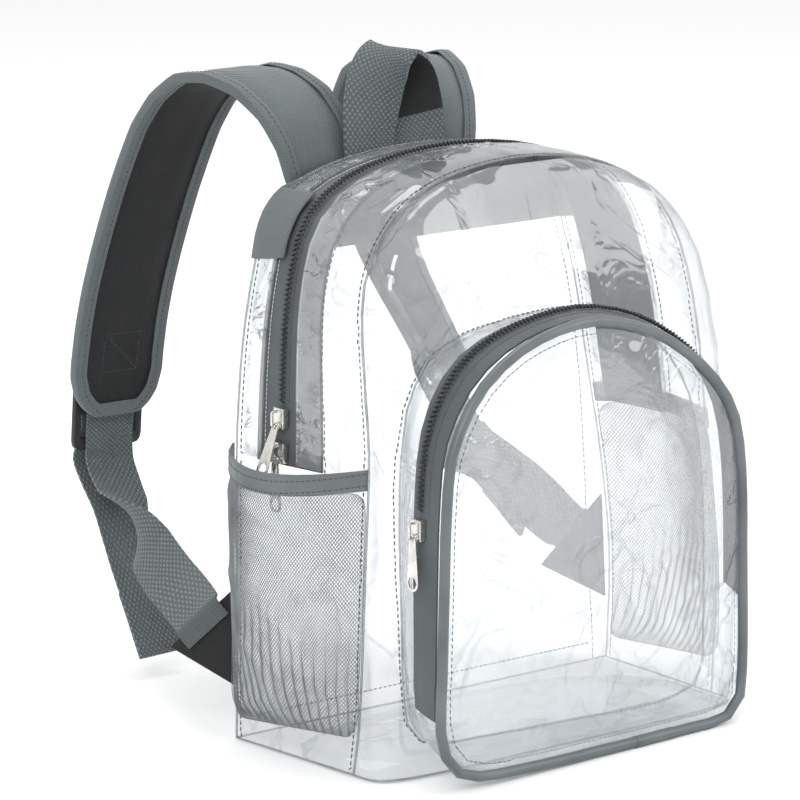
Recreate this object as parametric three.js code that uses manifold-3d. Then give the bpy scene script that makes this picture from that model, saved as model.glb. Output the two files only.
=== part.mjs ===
// A clear vinyl stadium backpack, in millimetres.
// X is its width, the front faces -Y, and Z = 0 is the underside.
// The bag is drawn with Y = 0 at the back panel's foot, and moved so that the origin is the floor's middle.
import * as THREE from 'three';
import { mergeVertices } from 'three/addons/utils/BufferGeometryUtils.js';
import Module from 'manifold-3d';

const wasm = await Module();
wasm.setup();

// The bag's body
const bodyHeight = 305;
const frontRise = 4;
const halfWidth = 130;
const gussetDepth = 93;
const topLean = 12;
const frontProud = 26;
const sideSwell = 2;
const vinylWall = 1.2;
const seamGap = 0.4;
const frontHeight = bodyHeight + frontRise;

// The main zip, in its gusset
const zipEndHeight = 152;
const sliderAboveEnd = 7;
const tapeWidth = 46;
const tapeFromBack = 14;
const clearOverTape = 5;
const tapeWall = 1.2;
const coilRadius = 2.2;
const coilFromBack = 34;
const facingWidth = 11;
const coilEndGap = 3;

// The front pocket
const pocketHalfWidth = 111;
const pocketHeight = 228;
const pocketFoot = 4.4;
const pocketCentreX = -5;
const pocketDepth = 26;
const pocketYaw = 5;
const pocketSwell = 4;
const pocketSliderAt = 0.288;
const pocketTape = { from: 0.165, to: 0.79, coilEnd: 0.775, coilAcross: 0.6 };
const pocketSteps = 56;
const pocketClearShare = 0.42;
const pipingRadius = 2.8;

// The mesh side pockets
const meshFoot = 13;
const meshFootRise = 7;
const rimHeight = 11;
const rimAboveZipEnd = 7;
const rimSag = 7;
const rimWall = 1.8;
const meshWall = 1;
const meshSwell = 21;

// The yoke, handle and shoulder straps
const topCentreX = -14;
const yokeDrop = 51;
const yokeTopShare = 0.945;
const yokeWall = 1.5;
const yokeWrap = 27;
const handleWidth = 31;
const handleWall = 2.4;
const handleRise = 57;
const handleSpread = 17;
const handleShift = 7;
const handleDrop = 10;
const webbingWidth = 31;
const webbingWall = 1.4;
const padWidth = 60;
const padThick = 8;
const padEdgeThick = 3;
const padReach = 163;
const padBaseWidth = 50;
const bindingWall = 1.1;
const bindingLip = 6.5;
const wingWall = 1.6;
const wingReach = 37;

// The ladder locks
const lockWidth = 46;
const lockHeight = 40;
const lockThick = 3.5;
const lockBar = 4.5;
const lockDrop = 2;
const lockOut = 7.6;
const lockSlots = { upper: { low: 5, high: 15.5 }, lower: { low: -13, high: 1 } };
const loopOnPad = 44;
const loopStraight = 14;

// The zip sliders and their pulls
const sliderWidth = 8;
const sliderLength = 11;
const sliderThick = 3.6;
const sliderSpacing = 18;
const upperSliderHeight = zipEndHeight + sliderAboveEnd + sliderSpacing;
const bridgeWidth = 1.4;
const bridgeBar = 1.3;
const bridgeLength = 9;
const bridgeRise = 4.6;
const pullLength = 30;
const pullWidth = 9;
const pullWall = 0.8;
const pullEye = 1.6;
const pullRim = 0.8;
const pullBand = 1.3;
const upperPullTilt = 22;

// Half widths of the body's two edges, as shares of halfWidth, from the foot to the top of the arch.
// A row's height is a share of the edge's own height.
const backEdgeRows = [
  { height: 0, left: 1, right: 1.01 },
  { height: 0.2, left: 0.98, right: 1.04 },
  { height: 0.4, left: 0.963, right: 0.995 },
  { height: 0.56, left: 0.945, right: 0.93 },
  { height: 0.73, left: 0.89, right: 0.865 },
  { height: 0.83, left: 0.83, right: 0.8 },
  { height: 0.885, left: 0.795, right: 0.765 },
  { height: 0.925, left: 0.735, right: 0.71 },
  { height: 0.955, left: 0.62, right: 0.61 },
  { height: 0.982, left: 0.42, right: 0.44 },
];
const frontEdgeRows = [
  { height: 0, left: 0.96, right: 0.97 },
  { height: 0.08, left: 0.925, right: 0.985 },
  { height: 0.24, left: 0.89, right: 1.01 },
  { height: 0.38, left: 0.865, right: 0.985 },
  { height: 0.53, left: 0.838, right: 0.95 },
  { height: 0.66, left: 0.85, right: 0.92 },
  { height: 0.77, left: 0.855, right: 0.865 },
  { height: 0.84, left: 0.825, right: 0.8 },
  { height: 0.88, left: 0.77, right: 0.735 },
  { height: 0.92, left: 0.69, right: 0.65 },
  { height: 0.955, left: 0.58, right: 0.51 },
  { height: 0.985, left: 0.37, right: 0.3 },
];

// How far the front panel stands past its seam, as a share of frontProud, up the front's height
const proudRows = [
  { height: 0, proud: 1 },
  { height: 0.68, proud: 1 },
  { height: 0.8, proud: 0.9 },
  { height: 0.88, proud: 0.68 },
  { height: 0.95, proud: 0.4 },
  { height: 1, proud: 0.16 },
];

// The pocket's two outlines, clockwise from the middle of the foot as seen from the front.
// x is a share of pocketHalfWidth from pocketCentreX, z a share of pocketHeight from pocketFoot.
const pocketFrontRows = [
  { x: 0, z: -0.004 },
  { x: -0.45, z: 0 },
  { x: -0.78, z: 0.012 },
  { x: -0.92, z: 0.045 },
  { x: -0.985, z: 0.12 },
  { x: -0.98, z: 0.25 },
  { x: -0.97, z: 0.43 },
  { x: -0.955, z: 0.63 },
  { x: -0.925, z: 0.75 },
  { x: -0.868, z: 0.81 },
  { x: -0.79, z: 0.865 },
  { x: -0.69, z: 0.91 },
  { x: -0.525, z: 0.957 },
  { x: -0.295, z: 0.99 },
  { x: -0.045, z: 1 },
  { x: 0.12, z: 0.987 },
  { x: 0.32, z: 0.957 },
  { x: 0.52, z: 0.905 },
  { x: 0.74, z: 0.825 },
  { x: 0.89, z: 0.73 },
  { x: 0.95, z: 0.6 },
  { x: 0.97, z: 0.365 },
  { x: 0.98, z: 0.12 },
  { x: 0.965, z: 0.04 },
  { x: 0.88, z: 0 },
  { x: 0.57, z: -0.006 },
];
const pocketSeamRows = [
  { x: 0, z: 0.045 },
  { x: -0.45, z: 0.052 },
  { x: -0.8, z: 0.062 },
  { x: -0.895, z: 0.085 },
  { x: -0.925, z: 0.16 },
  { x: -0.922, z: 0.35 },
  { x: -0.912, z: 0.55 },
  { x: -0.89, z: 0.72 },
  { x: -0.855, z: 0.84 },
  { x: -0.8, z: 0.895 },
  { x: -0.73, z: 0.935 },
  { x: -0.6, z: 0.965 },
  { x: -0.4, z: 0.985 },
  { x: -0.15, z: 0.997 },
  { x: 0.05, z: 0.998 },
  { x: 0.25, z: 0.98 },
  { x: 0.45, z: 0.945 },
  { x: 0.64, z: 0.885 },
  { x: 0.79, z: 0.8 },
  { x: 0.88, z: 0.7 },
  { x: 0.925, z: 0.52 },
  { x: 0.92, z: 0.33 },
  { x: 0.91, z: 0.14 },
  { x: 0.89, z: 0.075 },
  { x: 0.78, z: 0.05 },
  { x: 0.4, z: 0.04 },
];

// The shoulder pads, from the yoke over the crest to the lower end.
// out is from topCentreX and back from the back panel's top, both as shares of padReach,
// up is a share of bodyHeight, and turn is the width's turn about Z in degrees.
const padRows = {
  left: [
    { out: -0.235, back: 0.062, up: 0.962, turn: 0 },
    { out: -0.255, back: 0.085, up: 1.022, turn: 0 },
    { out: -0.29, back: 0.165, up: 1.085, turn: 0 },
    { out: -0.325, back: 0.31, up: 1.12, turn: 0 },
    { out: -0.355, back: 0.47, up: 1.115, turn: 0 },
    { out: -0.385, back: 0.61, up: 1.05, turn: 0 },
    { out: -0.41, back: 0.72, up: 0.935, turn: 0 },
    { out: -0.43, back: 0.81, up: 0.81, turn: 0 },
    { out: -0.445, back: 0.88, up: 0.69, turn: 0 },
    { out: -0.45, back: 0.925, up: 0.58, turn: 0 },
    { out: -0.452, back: 0.94, up: 0.475, turn: 0 },
  ],
  right: [
    { out: 0.235, back: 0.062, up: 0.962, turn: 0 },
    { out: 0.255, back: 0.085, up: 1.022, turn: 0 },
    { out: 0.29, back: 0.165, up: 1.085, turn: 0 },
    { out: 0.325, back: 0.3, up: 1.12, turn: 0 },
    { out: 0.345, back: 0.43, up: 1.11, turn: 3 },
    { out: 0.36, back: 0.54, up: 1.04, turn: 8 },
    { out: 0.38, back: 0.59, up: 0.94, turn: 16 },
    { out: 0.395, back: 0.575, up: 0.835, turn: 23 },
    { out: 0.41, back: 0.49, up: 0.73, turn: 28 },
    { out: 0.44, back: 0.36, up: 0.625, turn: 30 },
    { out: 0.475, back: 0.24, up: 0.52, turn: 30 },
  ],
};

// The handle's loop, from its left foot to its right: out is a share of handleSpread, up of handleRise,
// back a length, and turn the width's turn about Z in degrees.
const handleRows = [
  { out: -1.05, up: 0, back: 0, turn: 0 },
  { out: -1.05, up: 0.33, back: 0, turn: -8 },
  { out: -0.82, up: 0.68, back: 1, turn: -28 },
  { out: -0.45, up: 0.95, back: 1, turn: -55 },
  { out: 0, up: 1.06, back: 0, turn: -75 },
  { out: 0.45, up: 0.93, back: 4, turn: -55 },
  { out: 0.85, up: 0.62, back: 4, turn: -25 },
  { out: 1.05, up: 0.3, back: 2, turn: -8 },
  { out: 1.05, up: 0, back: 0, turn: 0 },
];

// The wings: low and high are on the back seam and up is the tip's, as shares of bodyHeight.
// reach is the tip's distance from the seam as a share of wingReach, in a plane turned outwards by flare.
const wingRows = {
  left: { low: 0.095, high: 0.265, reach: 1, flare: 30, up: 0.15 },
  right: { low: 0.115, high: 0.31, reach: 1.1, flare: -15, up: 0.155 },
};

// The webbing's long ply, from its wing to its ladder lock. share is along the straight line between them
// and sag falls below it, as a share of padReach. acrossX, acrossY and acrossZ are the way its width lies.
const plyRows = {
  left: [
    { share: 0.3, sag: 0.05, acrossX: -0.4, acrossY: 0.68, acrossZ: -0.6 },
    { share: 0.52, sag: 0.07, acrossX: -0.2, acrossY: 0.85, acrossZ: -0.5 },
    { share: 0.7, sag: 0.07, acrossX: 0.5, acrossY: 0.85, acrossZ: -0.2 },
    { share: 0.85, sag: 0.05, acrossX: 0.97, acrossY: 0.25, acrossZ: 0 },
  ],
  right: [
    { share: 0.3, sag: 0.01, acrossX: 0.4, acrossY: -0.4, acrossZ: 0.65 },
    { share: 0.6, sag: 0.02, acrossX: 0.75, acrossY: 0.05, acrossZ: 0.35 },
    { share: 0.85, sag: 0.015, acrossX: 0.85, acrossY: 0.4, acrossZ: 0.1 },
  ],
};

// The webbing's tail below its lock: out is a share of halfWidth, back of gussetDepth and up of bodyHeight
const tailRows = {
  left: [
    { out: -0.67, back: 1.79, up: 0.3, turn: 0 },
    { out: -0.65, back: 1.66, up: 0.2, turn: 0 },
    { out: -0.635, back: 1.52, up: 0.11, turn: 0 },
    { out: -0.63, back: 1.4, up: 0.04, turn: 0 },
  ],
  right: [
    { out: 0.58, back: 0.66, up: 0.39, turn: 30 },
    { out: 0.74, back: 0.56, up: 0.315, turn: 24 },
    { out: 0.88, back: 0.52, up: 0.25, turn: 18 },
  ],
};

const clearSheet = { color: 0xeef3f5, roughness: 0.08, metalness: 0, transparent: true, opacity: 0.25 };
const openNet = { color: 0x6a7275, roughness: 0.8, metalness: 0, transparent: true, opacity: 0.5 };
const materials = {
  clear: new THREE.MeshStandardMaterial(clearSheet),
  trim: new THREE.MeshStandardMaterial({ color: 0x5f676a, roughness: 0.75, metalness: 0 }),
  piping: new THREE.MeshStandardMaterial({ color: 0x596164, roughness: 0.4, metalness: 0 }),
  lining: new THREE.MeshStandardMaterial({ color: 0x101112, roughness: 0.9, metalness: 0 }),
  plastic: new THREE.MeshStandardMaterial({ color: 0x0c0d0e, roughness: 0.35, metalness: 0 }),
  metal: new THREE.MeshStandardMaterial({ color: 0xc9c6c0, roughness: 0.25, metalness: 1 }),
  mesh: new THREE.MeshStandardMaterial(openNet),
};

// Helpers

function readColumn(rows, key, column, share) {
  const above = rows.findIndex((row) => row[key] >= share);
  if (above === 0) return rows[0][column];
  if (above < 0) return rows.at(-1)[column];
  const low = rows[above - 1];
  const high = rows[above];
  return THREE.MathUtils.lerp(low[column], high[column], (share - low[key]) / (high[key] - low[key]));
}

function readShare(rows, column, share) {
  const at = THREE.MathUtils.clamp(share, 0, 1) * (rows.length - 1);
  const low = Math.min(Math.floor(at), rows.length - 2);
  return THREE.MathUtils.lerp(rows[low][column], rows[low + 1][column], at - low);
}

function smoothCurve(points, closed = false) {
  const curve = new THREE.CatmullRomCurve3(points, closed, 'centripetal');
  curve.arcLengthDivisions = 400;
  return curve;
}

function signedVolume(points, faces) {
  let volume = 0;
  for (let i = 0; i < faces.length; i += 3) {
    const [a, b, c] = [points[faces[i]], points[faces[i + 1]], points[faces[i + 2]]];
    volume += a.dot(b.clone().cross(c));
  }
  return volume;
}

function closedGeometry(points, faces) {
  const facing = signedVolume(points, faces) > 0 ? faces : faces.toReversed();
  const geometry = new THREE.BufferGeometry().setFromPoints(points);
  geometry.setIndex(facing);
  geometry.computeVertexNormals();
  return geometry;
}

// A wall of one thickness: place(along, across, inner) gives the points of its outer and inner sides
function wallGeometry(rows, columns, place, ring = false) {
  const rowCount = ring ? rows : rows + 1;
  const points = [];
  for (const inner of [false, true]) {
    for (let i = 0; i < rowCount; i += 1) {
      for (let j = 0; j <= columns; j += 1) points.push(place(i / rows, j / columns, inner));
    }
  }
  const at = (i, j, side) => (side * rowCount + (i % rowCount)) * (columns + 1) + j;
  const faces = [];
  const quad = (a, b, c, d) => faces.push(a, b, c, a, c, d);
  for (let i = 0; i < rows; i += 1) {
    for (let j = 0; j < columns; j += 1) {
      quad(at(i, j, 0), at(i, j + 1, 0), at(i + 1, j + 1, 0), at(i + 1, j, 0));
      quad(at(i, j, 1), at(i + 1, j, 1), at(i + 1, j + 1, 1), at(i, j + 1, 1));
    }
    quad(at(i, 0, 0), at(i + 1, 0, 0), at(i + 1, 0, 1), at(i, 0, 1));
    quad(at(i, columns, 0), at(i, columns, 1), at(i + 1, columns, 1), at(i + 1, columns, 0));
  }
  for (let j = 0; j < columns && !ring; j += 1) {
    quad(at(0, j, 0), at(0, j, 1), at(0, j + 1, 1), at(0, j + 1, 0));
    quad(at(rows, j, 0), at(rows, j + 1, 0), at(rows, j + 1, 1), at(rows, j, 1));
  }
  return closedGeometry(points, faces);
}

// A flat section swept along frames, each a centre with its two axes
function sweepGeometry(section, frames, ring = false) {
  const count = section.length;
  const points = frames.flatMap(({ centre, x, y }) => section.map(
    (corner) => centre.clone().addScaledVector(x, corner.x).addScaledVector(y, corner.y),
  ));
  const faces = [];
  const steps = ring ? frames.length : frames.length - 1;
  for (let i = 0; i < steps; i += 1) {
    const next = (i + 1) % frames.length;
    for (let j = 0; j < count; j += 1) {
      const [a, b] = [i * count + j, i * count + ((j + 1) % count)];
      const [d, c] = [next * count + j, next * count + ((j + 1) % count)];
      faces.push(a, b, c, a, c, d);
    }
  }
  if (!ring) faces.push(...capFaces(section, (frames.length - 1) * count));
  return closedGeometry(points, faces);
}

function capFaces(section, lastRow) {
  const turnsLeft = THREE.ShapeUtils.area(section) > 0;
  return THREE.ShapeUtils.triangulateShape(section, []).flatMap((corners) => {
    const left = THREE.ShapeUtils.area(corners.map((k) => section[k])) > 0;
    const [a, b, c] = left === turnsLeft ? corners : [...corners].reverse();
    return [a, c, b, lastRow + a, lastRow + b, lastRow + c];
  });
}

function framesAlong(points, upright, ring = false) {
  return points.map((centre, i) => {
    const before = points[ring ? (i + points.length - 1) % points.length : Math.max(i - 1, 0)];
    const after = points[ring ? (i + 1) % points.length : Math.min(i + 1, points.length - 1)];
    const way = after.clone().sub(before).normalize();
    const x = upright.clone().addScaledVector(way, -upright.dot(way)).normalize();
    return { centre, x, y: way.cross(x) };
  });
}

function roundSection(radius, sides) {
  return Array.from({ length: sides }, (_, i) => {
    const angle = (2 * Math.PI * i) / sides;
    return new THREE.Vector2(radius * Math.cos(angle), radius * Math.sin(angle));
  });
}

function stepsBetween(low, high, count) {
  return Array.from({ length: count + 1 }, (_, i) => low + ((high - low) * i) / count);
}

function toSolid(geometry) {
  const bare = new THREE.BufferGeometry().setAttribute('position', geometry.getAttribute('position').clone());
  if (geometry.index) bare.setIndex(geometry.index.clone());
  const merged = mergeVertices(bare, 1e-4);
  return new wasm.Manifold(new wasm.Mesh({
    numProp: 3,
    vertProperties: Float32Array.from(merged.getAttribute('position').array),
    triVerts: Uint32Array.from(merged.index.array),
  }));
}

function fromSolid(solid) {
  const { vertProperties, triVerts } = solid.getMesh();
  const geometry = new THREE.BufferGeometry();
  geometry.setAttribute('position', new THREE.BufferAttribute(Float32Array.from(vertProperties), 3));
  geometry.setIndex([...triVerts]);
  geometry.computeVertexNormals();
  return geometry;
}

const bag = new THREE.Group();
bag.position.y = gussetDepth / 2;

function addPiece(name, material, geometry) {
  const mesh = new THREE.Mesh(geometry, materials[material].clone());
  mesh.name = name;
  bag.add(mesh);
  return mesh;
}

// The body's surfaces

function edgeCurve(rows, height, foot) {
  const at = (row, sign, side) => new THREE.Vector3(
    sign * row[side] * halfWidth, foot + topLean * row.height, row.height * height,
  );
  const left = rows.map((row) => at(row, -1, 'left'));
  const right = rows.map((row) => at(row, 1, 'right')).reverse();
  return smoothCurve([...left, new THREE.Vector3(0, foot + topLean, height), ...right]);
}

const backEdge = edgeCurve(backEdgeRows, bodyHeight, 0);
const frontEdge = edgeCurve(frontEdgeRows, frontHeight, -gussetDepth);

function betweenEdges(along, across) {
  return backEdge.getPointAt(along).lerp(frontEdge.getPointAt(along), across);
}

// A point of the side band: along from the left foot over the arch, across from the back edge to the front
function gussetPoint(along, across, out = 0) {
  const step = 0.004;
  const ahead = betweenEdges(Math.min(along + step, 1), across);
  const way = ahead.sub(betweenEdges(Math.max(along - step, 0), across));
  const outward = new THREE.Vector3(-way.z, 0, way.x).normalize();
  const fade = Math.min(1, along / 0.05, (1 - along) / 0.05);
  const swell = sideSwell * fade * Math.sin(Math.PI * THREE.MathUtils.clamp(across, 0, 1));
  return betweenEdges(along, across).addScaledVector(outward, out + swell);
}

// How far along the band a height lies, on the left (-1) or the right (1)
function alongAt(height, side) {
  let [low, high] = [0, 0.49];
  for (let i = 0; i < 24; i += 1) {
    const middle = (low + high) / 2;
    if (betweenEdges(side < 0 ? middle : 1 - middle, 0.5).z < height) low = middle;
    else high = middle;
  }
  return side < 0 ? low : 1 - low;
}

function frontHalfWidth(height, side) {
  const share = height / frontHeight;
  const rows = [...frontEdgeRows, { height: 1, left: 0.06, right: 0.06 }];
  return halfWidth * readColumn(rows, 'height', side < 0 ? 'left' : 'right', share);
}

// The front panel's outer face: how far forward it is at a width and a height
function frontFace(x, z) {
  const share = Math.min(Math.abs(x) / frontHalfWidth(z, Math.sign(x)), 1);
  const height = z / frontHeight;
  const proud = frontProud * readColumn(proudRows, 'height', 'proud', height);
  return -gussetDepth + topLean * height - proud * (1 - share ** 5) ** 0.2;
}

const tapeFace = -vinylWall - seamGap;

function bandStrip(from, to, low, high, out, wall, rows, columns) {
  return wallGeometry(rows, columns, (i, j, inner) => gussetPoint(
    from + (to - from) * i, low + (high - low) * j, out - (inner ? wall : 0),
  ));
}

function frontSection(turn) {
  const angle = Math.PI * (1 - turn);
  const x = Math.sign(Math.cos(angle)) * Math.abs(Math.cos(angle)) ** 0.4;
  return { x, y: Math.abs(Math.sin(angle)) ** 0.4 };
}

function buildFloor() {
  const outline = [
    new THREE.Vector2(-halfWidth * backEdgeRows[0].left, 0),
    ...stepsBetween(0, 1, 16).map((turn) => {
      const { x, y } = frontSection(turn);
      return new THREE.Vector2(x * frontHalfWidth(0, x), -gussetDepth - frontProud * y);
    }),
    new THREE.Vector2(halfWidth * backEdgeRows[0].right, 0),
  ];
  addPiece('floor_panel', 'clear', new THREE.ExtrudeGeometry(
    new THREE.Shape(outline), { depth: vinylWall, bevelEnabled: false },
  ));
}

function buildBackPanel() {
  const foot = vinylWall + seamGap;
  const heights = [0.02, 0.2, 0.4, 0.56, 0.73, 0.83, 0.885, 0.925, 0.955, 0.975, 0.99];
  const geometry = wallGeometry(heights.length - 1, 2, (i, j, inner) => {
    const height = Math.max(heights[Math.round(i * (heights.length - 1))] * bodyHeight, foot);
    const [left, right] = [backEdgeX(height, 'left'), backEdgeX(height, 'right')];
    const y = seamGap + topLean * (height / bodyHeight) + (inner ? 0 : vinylWall);
    return new THREE.Vector3(THREE.MathUtils.lerp(left, right, j), y, i === 0 ? foot : height);
  });
  addPiece('back_panel', 'clear', geometry);
}

function backEdgeX(height, side) {
  const rows = [...backEdgeRows, { height: 1, left: 0.08, right: 0.08 }];
  const reach = halfWidth * readColumn(rows, 'height', side, height / bodyHeight);
  return side === 'left' ? -reach : reach;
}

function buildFrontPanel() {
  const foot = vinylWall + seamGap;
  const heights = [0, 0.08, 0.24, 0.38, 0.53, 0.66, 0.77, 0.84, 0.88, 0.92, 0.955, 0.978, 0.992];
  const shrink = (inner) => (inner ? vinylWall : 0);
  const geometry = wallGeometry(heights.length - 1, 16, (i, j, inner) => {
    const z = Math.max(heights[Math.round(i * (heights.length - 1))] * frontHeight, foot);
    const { x, y } = frontSection(j);
    const reach = frontHalfWidth(z, x) - shrink(inner);
    const lean = topLean * (z / frontHeight);
    const proud = frontProud * readColumn(proudRows, 'height', 'proud', z / frontHeight);
    const depth = Math.max(proud - shrink(inner), 0.5) * y;
    return new THREE.Vector3(x * reach, -gussetDepth - seamGap + lean - depth, z);
  });
  addPiece('front_panel', 'clear', geometry);
}

function buildBand() {
  const endLeft = alongAt(zipEndHeight, -1);
  const endRight = alongAt(zipEndHeight, 1);
  const foot = vinylWall + seamGap;
  const panelFoot = { left: alongAt(foot, -1), right: alongAt(foot, 1) };
  const seam = seamGap / backEdge.getLength();
  const edge = seamGap / gussetDepth;
  const tapeLow = tapeFromBack / gussetDepth;
  const tapeHigh = (tapeFromBack + tapeWidth) / gussetDepth;
  const over = clearOverTape / gussetDepth;
  const sidePanel = (from, to) => bandStrip(from, to, edge, 1 - edge, 0, vinylWall, 8, 6);
  addPiece('left_side_panel', 'clear', sidePanel(panelFoot.left, endLeft - seam));
  addPiece('right_side_panel', 'clear', sidePanel(endRight + seam, panelFoot.right));
  addPiece('rear_gusset', 'clear', bandStrip(endLeft, endRight, edge, tapeLow + over, 0, vinylWall, 32, 1));
  const frontLow = tapeHigh - over - (facingWidth / gussetDepth);
  const front = bandStrip(endLeft, endRight, frontLow, 1 - edge, 0, vinylWall, 32, 3);
  const tape = bandStrip(endLeft, endRight, tapeLow, tapeHigh, tapeFace, tapeWall, 32, 2);
  addPiece('front_gusset', 'clear', front);
  addPiece('main_zip_tape', 'trim', tape);
}

function buildMainCoil() {
  const across = coilFromBack / gussetDepth;
  const out = tapeFace + 0.3 + coilRadius;
  const start = alongAt(upperSliderHeight + 0.6 * sliderLength, -1);
  const end = alongAt(zipEndHeight + coilEndGap, 1);
  const points = stepsBetween(start, end, 34).map((along) => gussetPoint(along, across, out));
  addPiece('main_zip_coil', 'trim', sweepGeometry(
    roundSection(coilRadius, 5), framesAlong(points, new THREE.Vector3(0, 1, 0)),
  ));
}

// The front pocket's surfaces

function pocketOutline(rows, front) {
  return smoothCurve(rows.map((row) => {
    const x = pocketCentreX + row.x * pocketHalfWidth;
    const z = pocketFoot + row.z * pocketHeight;
    return new THREE.Vector3(x, front ? pocketFrontY(x) : frontFace(x, z), z);
  }), true);
}

function pocketFrontY(x) {
  return -gussetDepth - frontProud - pocketDepth + pocketYaw * (x / pocketHalfWidth);
}

const pocketSeam = pocketOutline(pocketSeamRows, false);
const pocketRim = pocketOutline(pocketFrontRows, true);

// A point of the pocket's own band: along from the middle of its foot, across from its seam to its rim
function pocketBandPoint(along, across, inner, wall, out = 0) {
  const at = ((along % 1) + 1) % 1;
  const step = 0.004;
  const place = (share) => {
    const turned = (share + 1) % 1;
    return pocketSeam.getPointAt(turned).lerp(pocketRim.getPointAt(turned), across);
  };
  const way = place(at + step).sub(place(at - step));
  const outward = new THREE.Vector3(-way.z, 0, way.x).normalize();
  const fade = Math.sin(Math.PI * across) * pocketSwell * THREE.MathUtils.smoothstep(place(at).z, 10, 60);
  const point = place(at).addScaledVector(outward, fade + out - (inner ? wall : 0));
  if (across < 0.05) point.y = frontFace(point.x, point.z) - seamGap * 1.5;
  return point;
}

function pocketStrip(from, to, low, high, wall, rows, columns, ring = false) {
  return wallGeometry(rows, columns, (i, j, inner) => pocketBandPoint(
    from + (to - from) * i, low + (high - low) * j, inner, wall,
  ), ring);
}

function buildPocket() {
  const edge = seamGap / pocketDepth;
  const rimEdge = 1 - (pipingRadius + seamGap) / pocketDepth;
  const { from, to } = pocketTape;
  const seam = 0.0006;
  const tapeLow = pocketClearShare + edge;
  const rear = pocketStrip(0, 1, 0, pocketClearShare, vinylWall, pocketSteps, 2, true);
  addPiece('pocket_rear_gusset', 'clear', rear);
  addPiece('pocket_zip_tape', 'trim', pocketStrip(from, to, tapeLow, rimEdge, tapeWall, 34, 2));
  const lower = pocketStrip(to + seam, 1 + from - seam, tapeLow, rimEdge, vinylWall, 24, 2);
  addPiece('pocket_lower_gusset', 'clear', lower);
  const piping = stepsBetween(0, 1, pocketSteps).slice(0, -1).map((along) => pocketRim.getPointAt(along));
  addPiece('pocket_piping', 'piping', sweepGeometry(
    roundSection(pipingRadius, 5), framesAlong(piping, new THREE.Vector3(0, 1, 0), true), true,
  ));
  buildPocketFront();
}

function buildPocketFront() {
  const inset = pipingRadius + seamGap;
  const height = pocketFoot + pocketHeight * 0.45;
  const middle = new THREE.Vector3(pocketCentreX, pocketFrontY(pocketCentreX), height);
  const rings = [1, 0.86, 0.6, 0.3];
  const geometry = pocketDome(rings, 44, (along, share, inner) => {
    const rim = pocketRim.getPointAt(along % 1);
    const toMiddle = middle.clone().sub(rim);
    const start = rim.addScaledVector(toMiddle.clone().normalize(), inset * 1.15);
    const point = start.lerp(middle, 1 - share);
    point.y = pocketFrontY(point.x) - pocketSwell * (1 - share ** 2) + (inner ? vinylWall : 0);
    return point;
  });
  addPiece('pocket_front', 'clear', geometry);
}

// A wall closed over its middle: rings of points from its rim inwards, then one middle point on each side
function pocketDome(rings, count, place) {
  const points = [];
  for (const inner of [false, true]) {
    for (const share of rings) {
      for (let k = 0; k < count; k += 1) points.push(place(k / count, share, inner));
    }
    points.push(place(0, 0, inner));
  }
  const side = rings.length * count + 1;
  const at = (ring, k, inner) => inner * side + ring * count + (k % count);
  const faces = [];
  const quad = (a, b, c, d) => faces.push(a, b, c, a, c, d);
  for (let k = 0; k < count; k += 1) {
    for (let ring = 0; ring < rings.length - 1; ring += 1) {
      quad(at(ring, k, 0), at(ring, k + 1, 0), at(ring + 1, k + 1, 0), at(ring + 1, k, 0));
      quad(at(ring, k, 1), at(ring + 1, k, 1), at(ring + 1, k + 1, 1), at(ring, k + 1, 1));
    }
    const last = rings.length - 1;
    faces.push(at(last, k, 0), at(last, k + 1, 0), side - 1);
    faces.push(at(last, k + 1, 1), at(last, k, 1), 2 * side - 1);
    quad(at(0, k, 0), at(0, k, 1), at(0, k + 1, 1), at(0, k + 1, 0));
  }
  return closedGeometry(points, faces);
}

function buildPocketCoil() {
  const { coilEnd, coilAcross } = pocketTape;
  const points = stepsBetween(pocketSliderAt + 0.012, coilEnd, 30)
    .map((along) => pocketBandPoint(along, coilAcross, false, 0, coilRadius + seamGap));
  addPiece('pocket_zip_coil', 'trim', sweepGeometry(
    roundSection(coilRadius, 5), framesAlong(points, new THREE.Vector3(0, 1, 0)),
  ));
}

// The mesh side pockets

function meshOut(rise, across) {
  const full = Math.sin((Math.PI / 2) * Math.min(rise * 1.3, 1)) ** 0.8;
  return seamGap + meshSwell * full * Math.sin(Math.PI * across ** 0.75);
}

function buildMeshPocket(name, side) {
  const edge = seamGap / gussetDepth;
  const rimTop = zipEndHeight + rimAboveZipEnd;
  const rimFoot = rimTop - rimHeight;
  const place = (height, rise, j, wall, inner) => {
    const across = THREE.MathUtils.lerp(edge, 1 - edge, j);
    const sag = rimSag * Math.sin(Math.PI * j) * rise;
    const out = meshOut(rise, across) + (inner ? 0 : wall);
    return gussetPoint(alongAt(height - sag, side), across, out);
  };
  addPiece(`${name}_mesh_pocket`, 'mesh', wallGeometry(7, 8, (i, j, inner) => (
    place(THREE.MathUtils.lerp(meshFoot + meshFootRise * j, rimFoot - seamGap, i), i, j, meshWall, inner)
  )));
  addPiece(`${name}_mesh_rim`, 'trim', wallGeometry(1, 12, (i, j, inner) => (
    place(THREE.MathUtils.lerp(rimFoot, rimTop, i), 1, j, rimWall, inner)
  )));
}

// The yoke across the back, its ends wrapped on to the side bands

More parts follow.
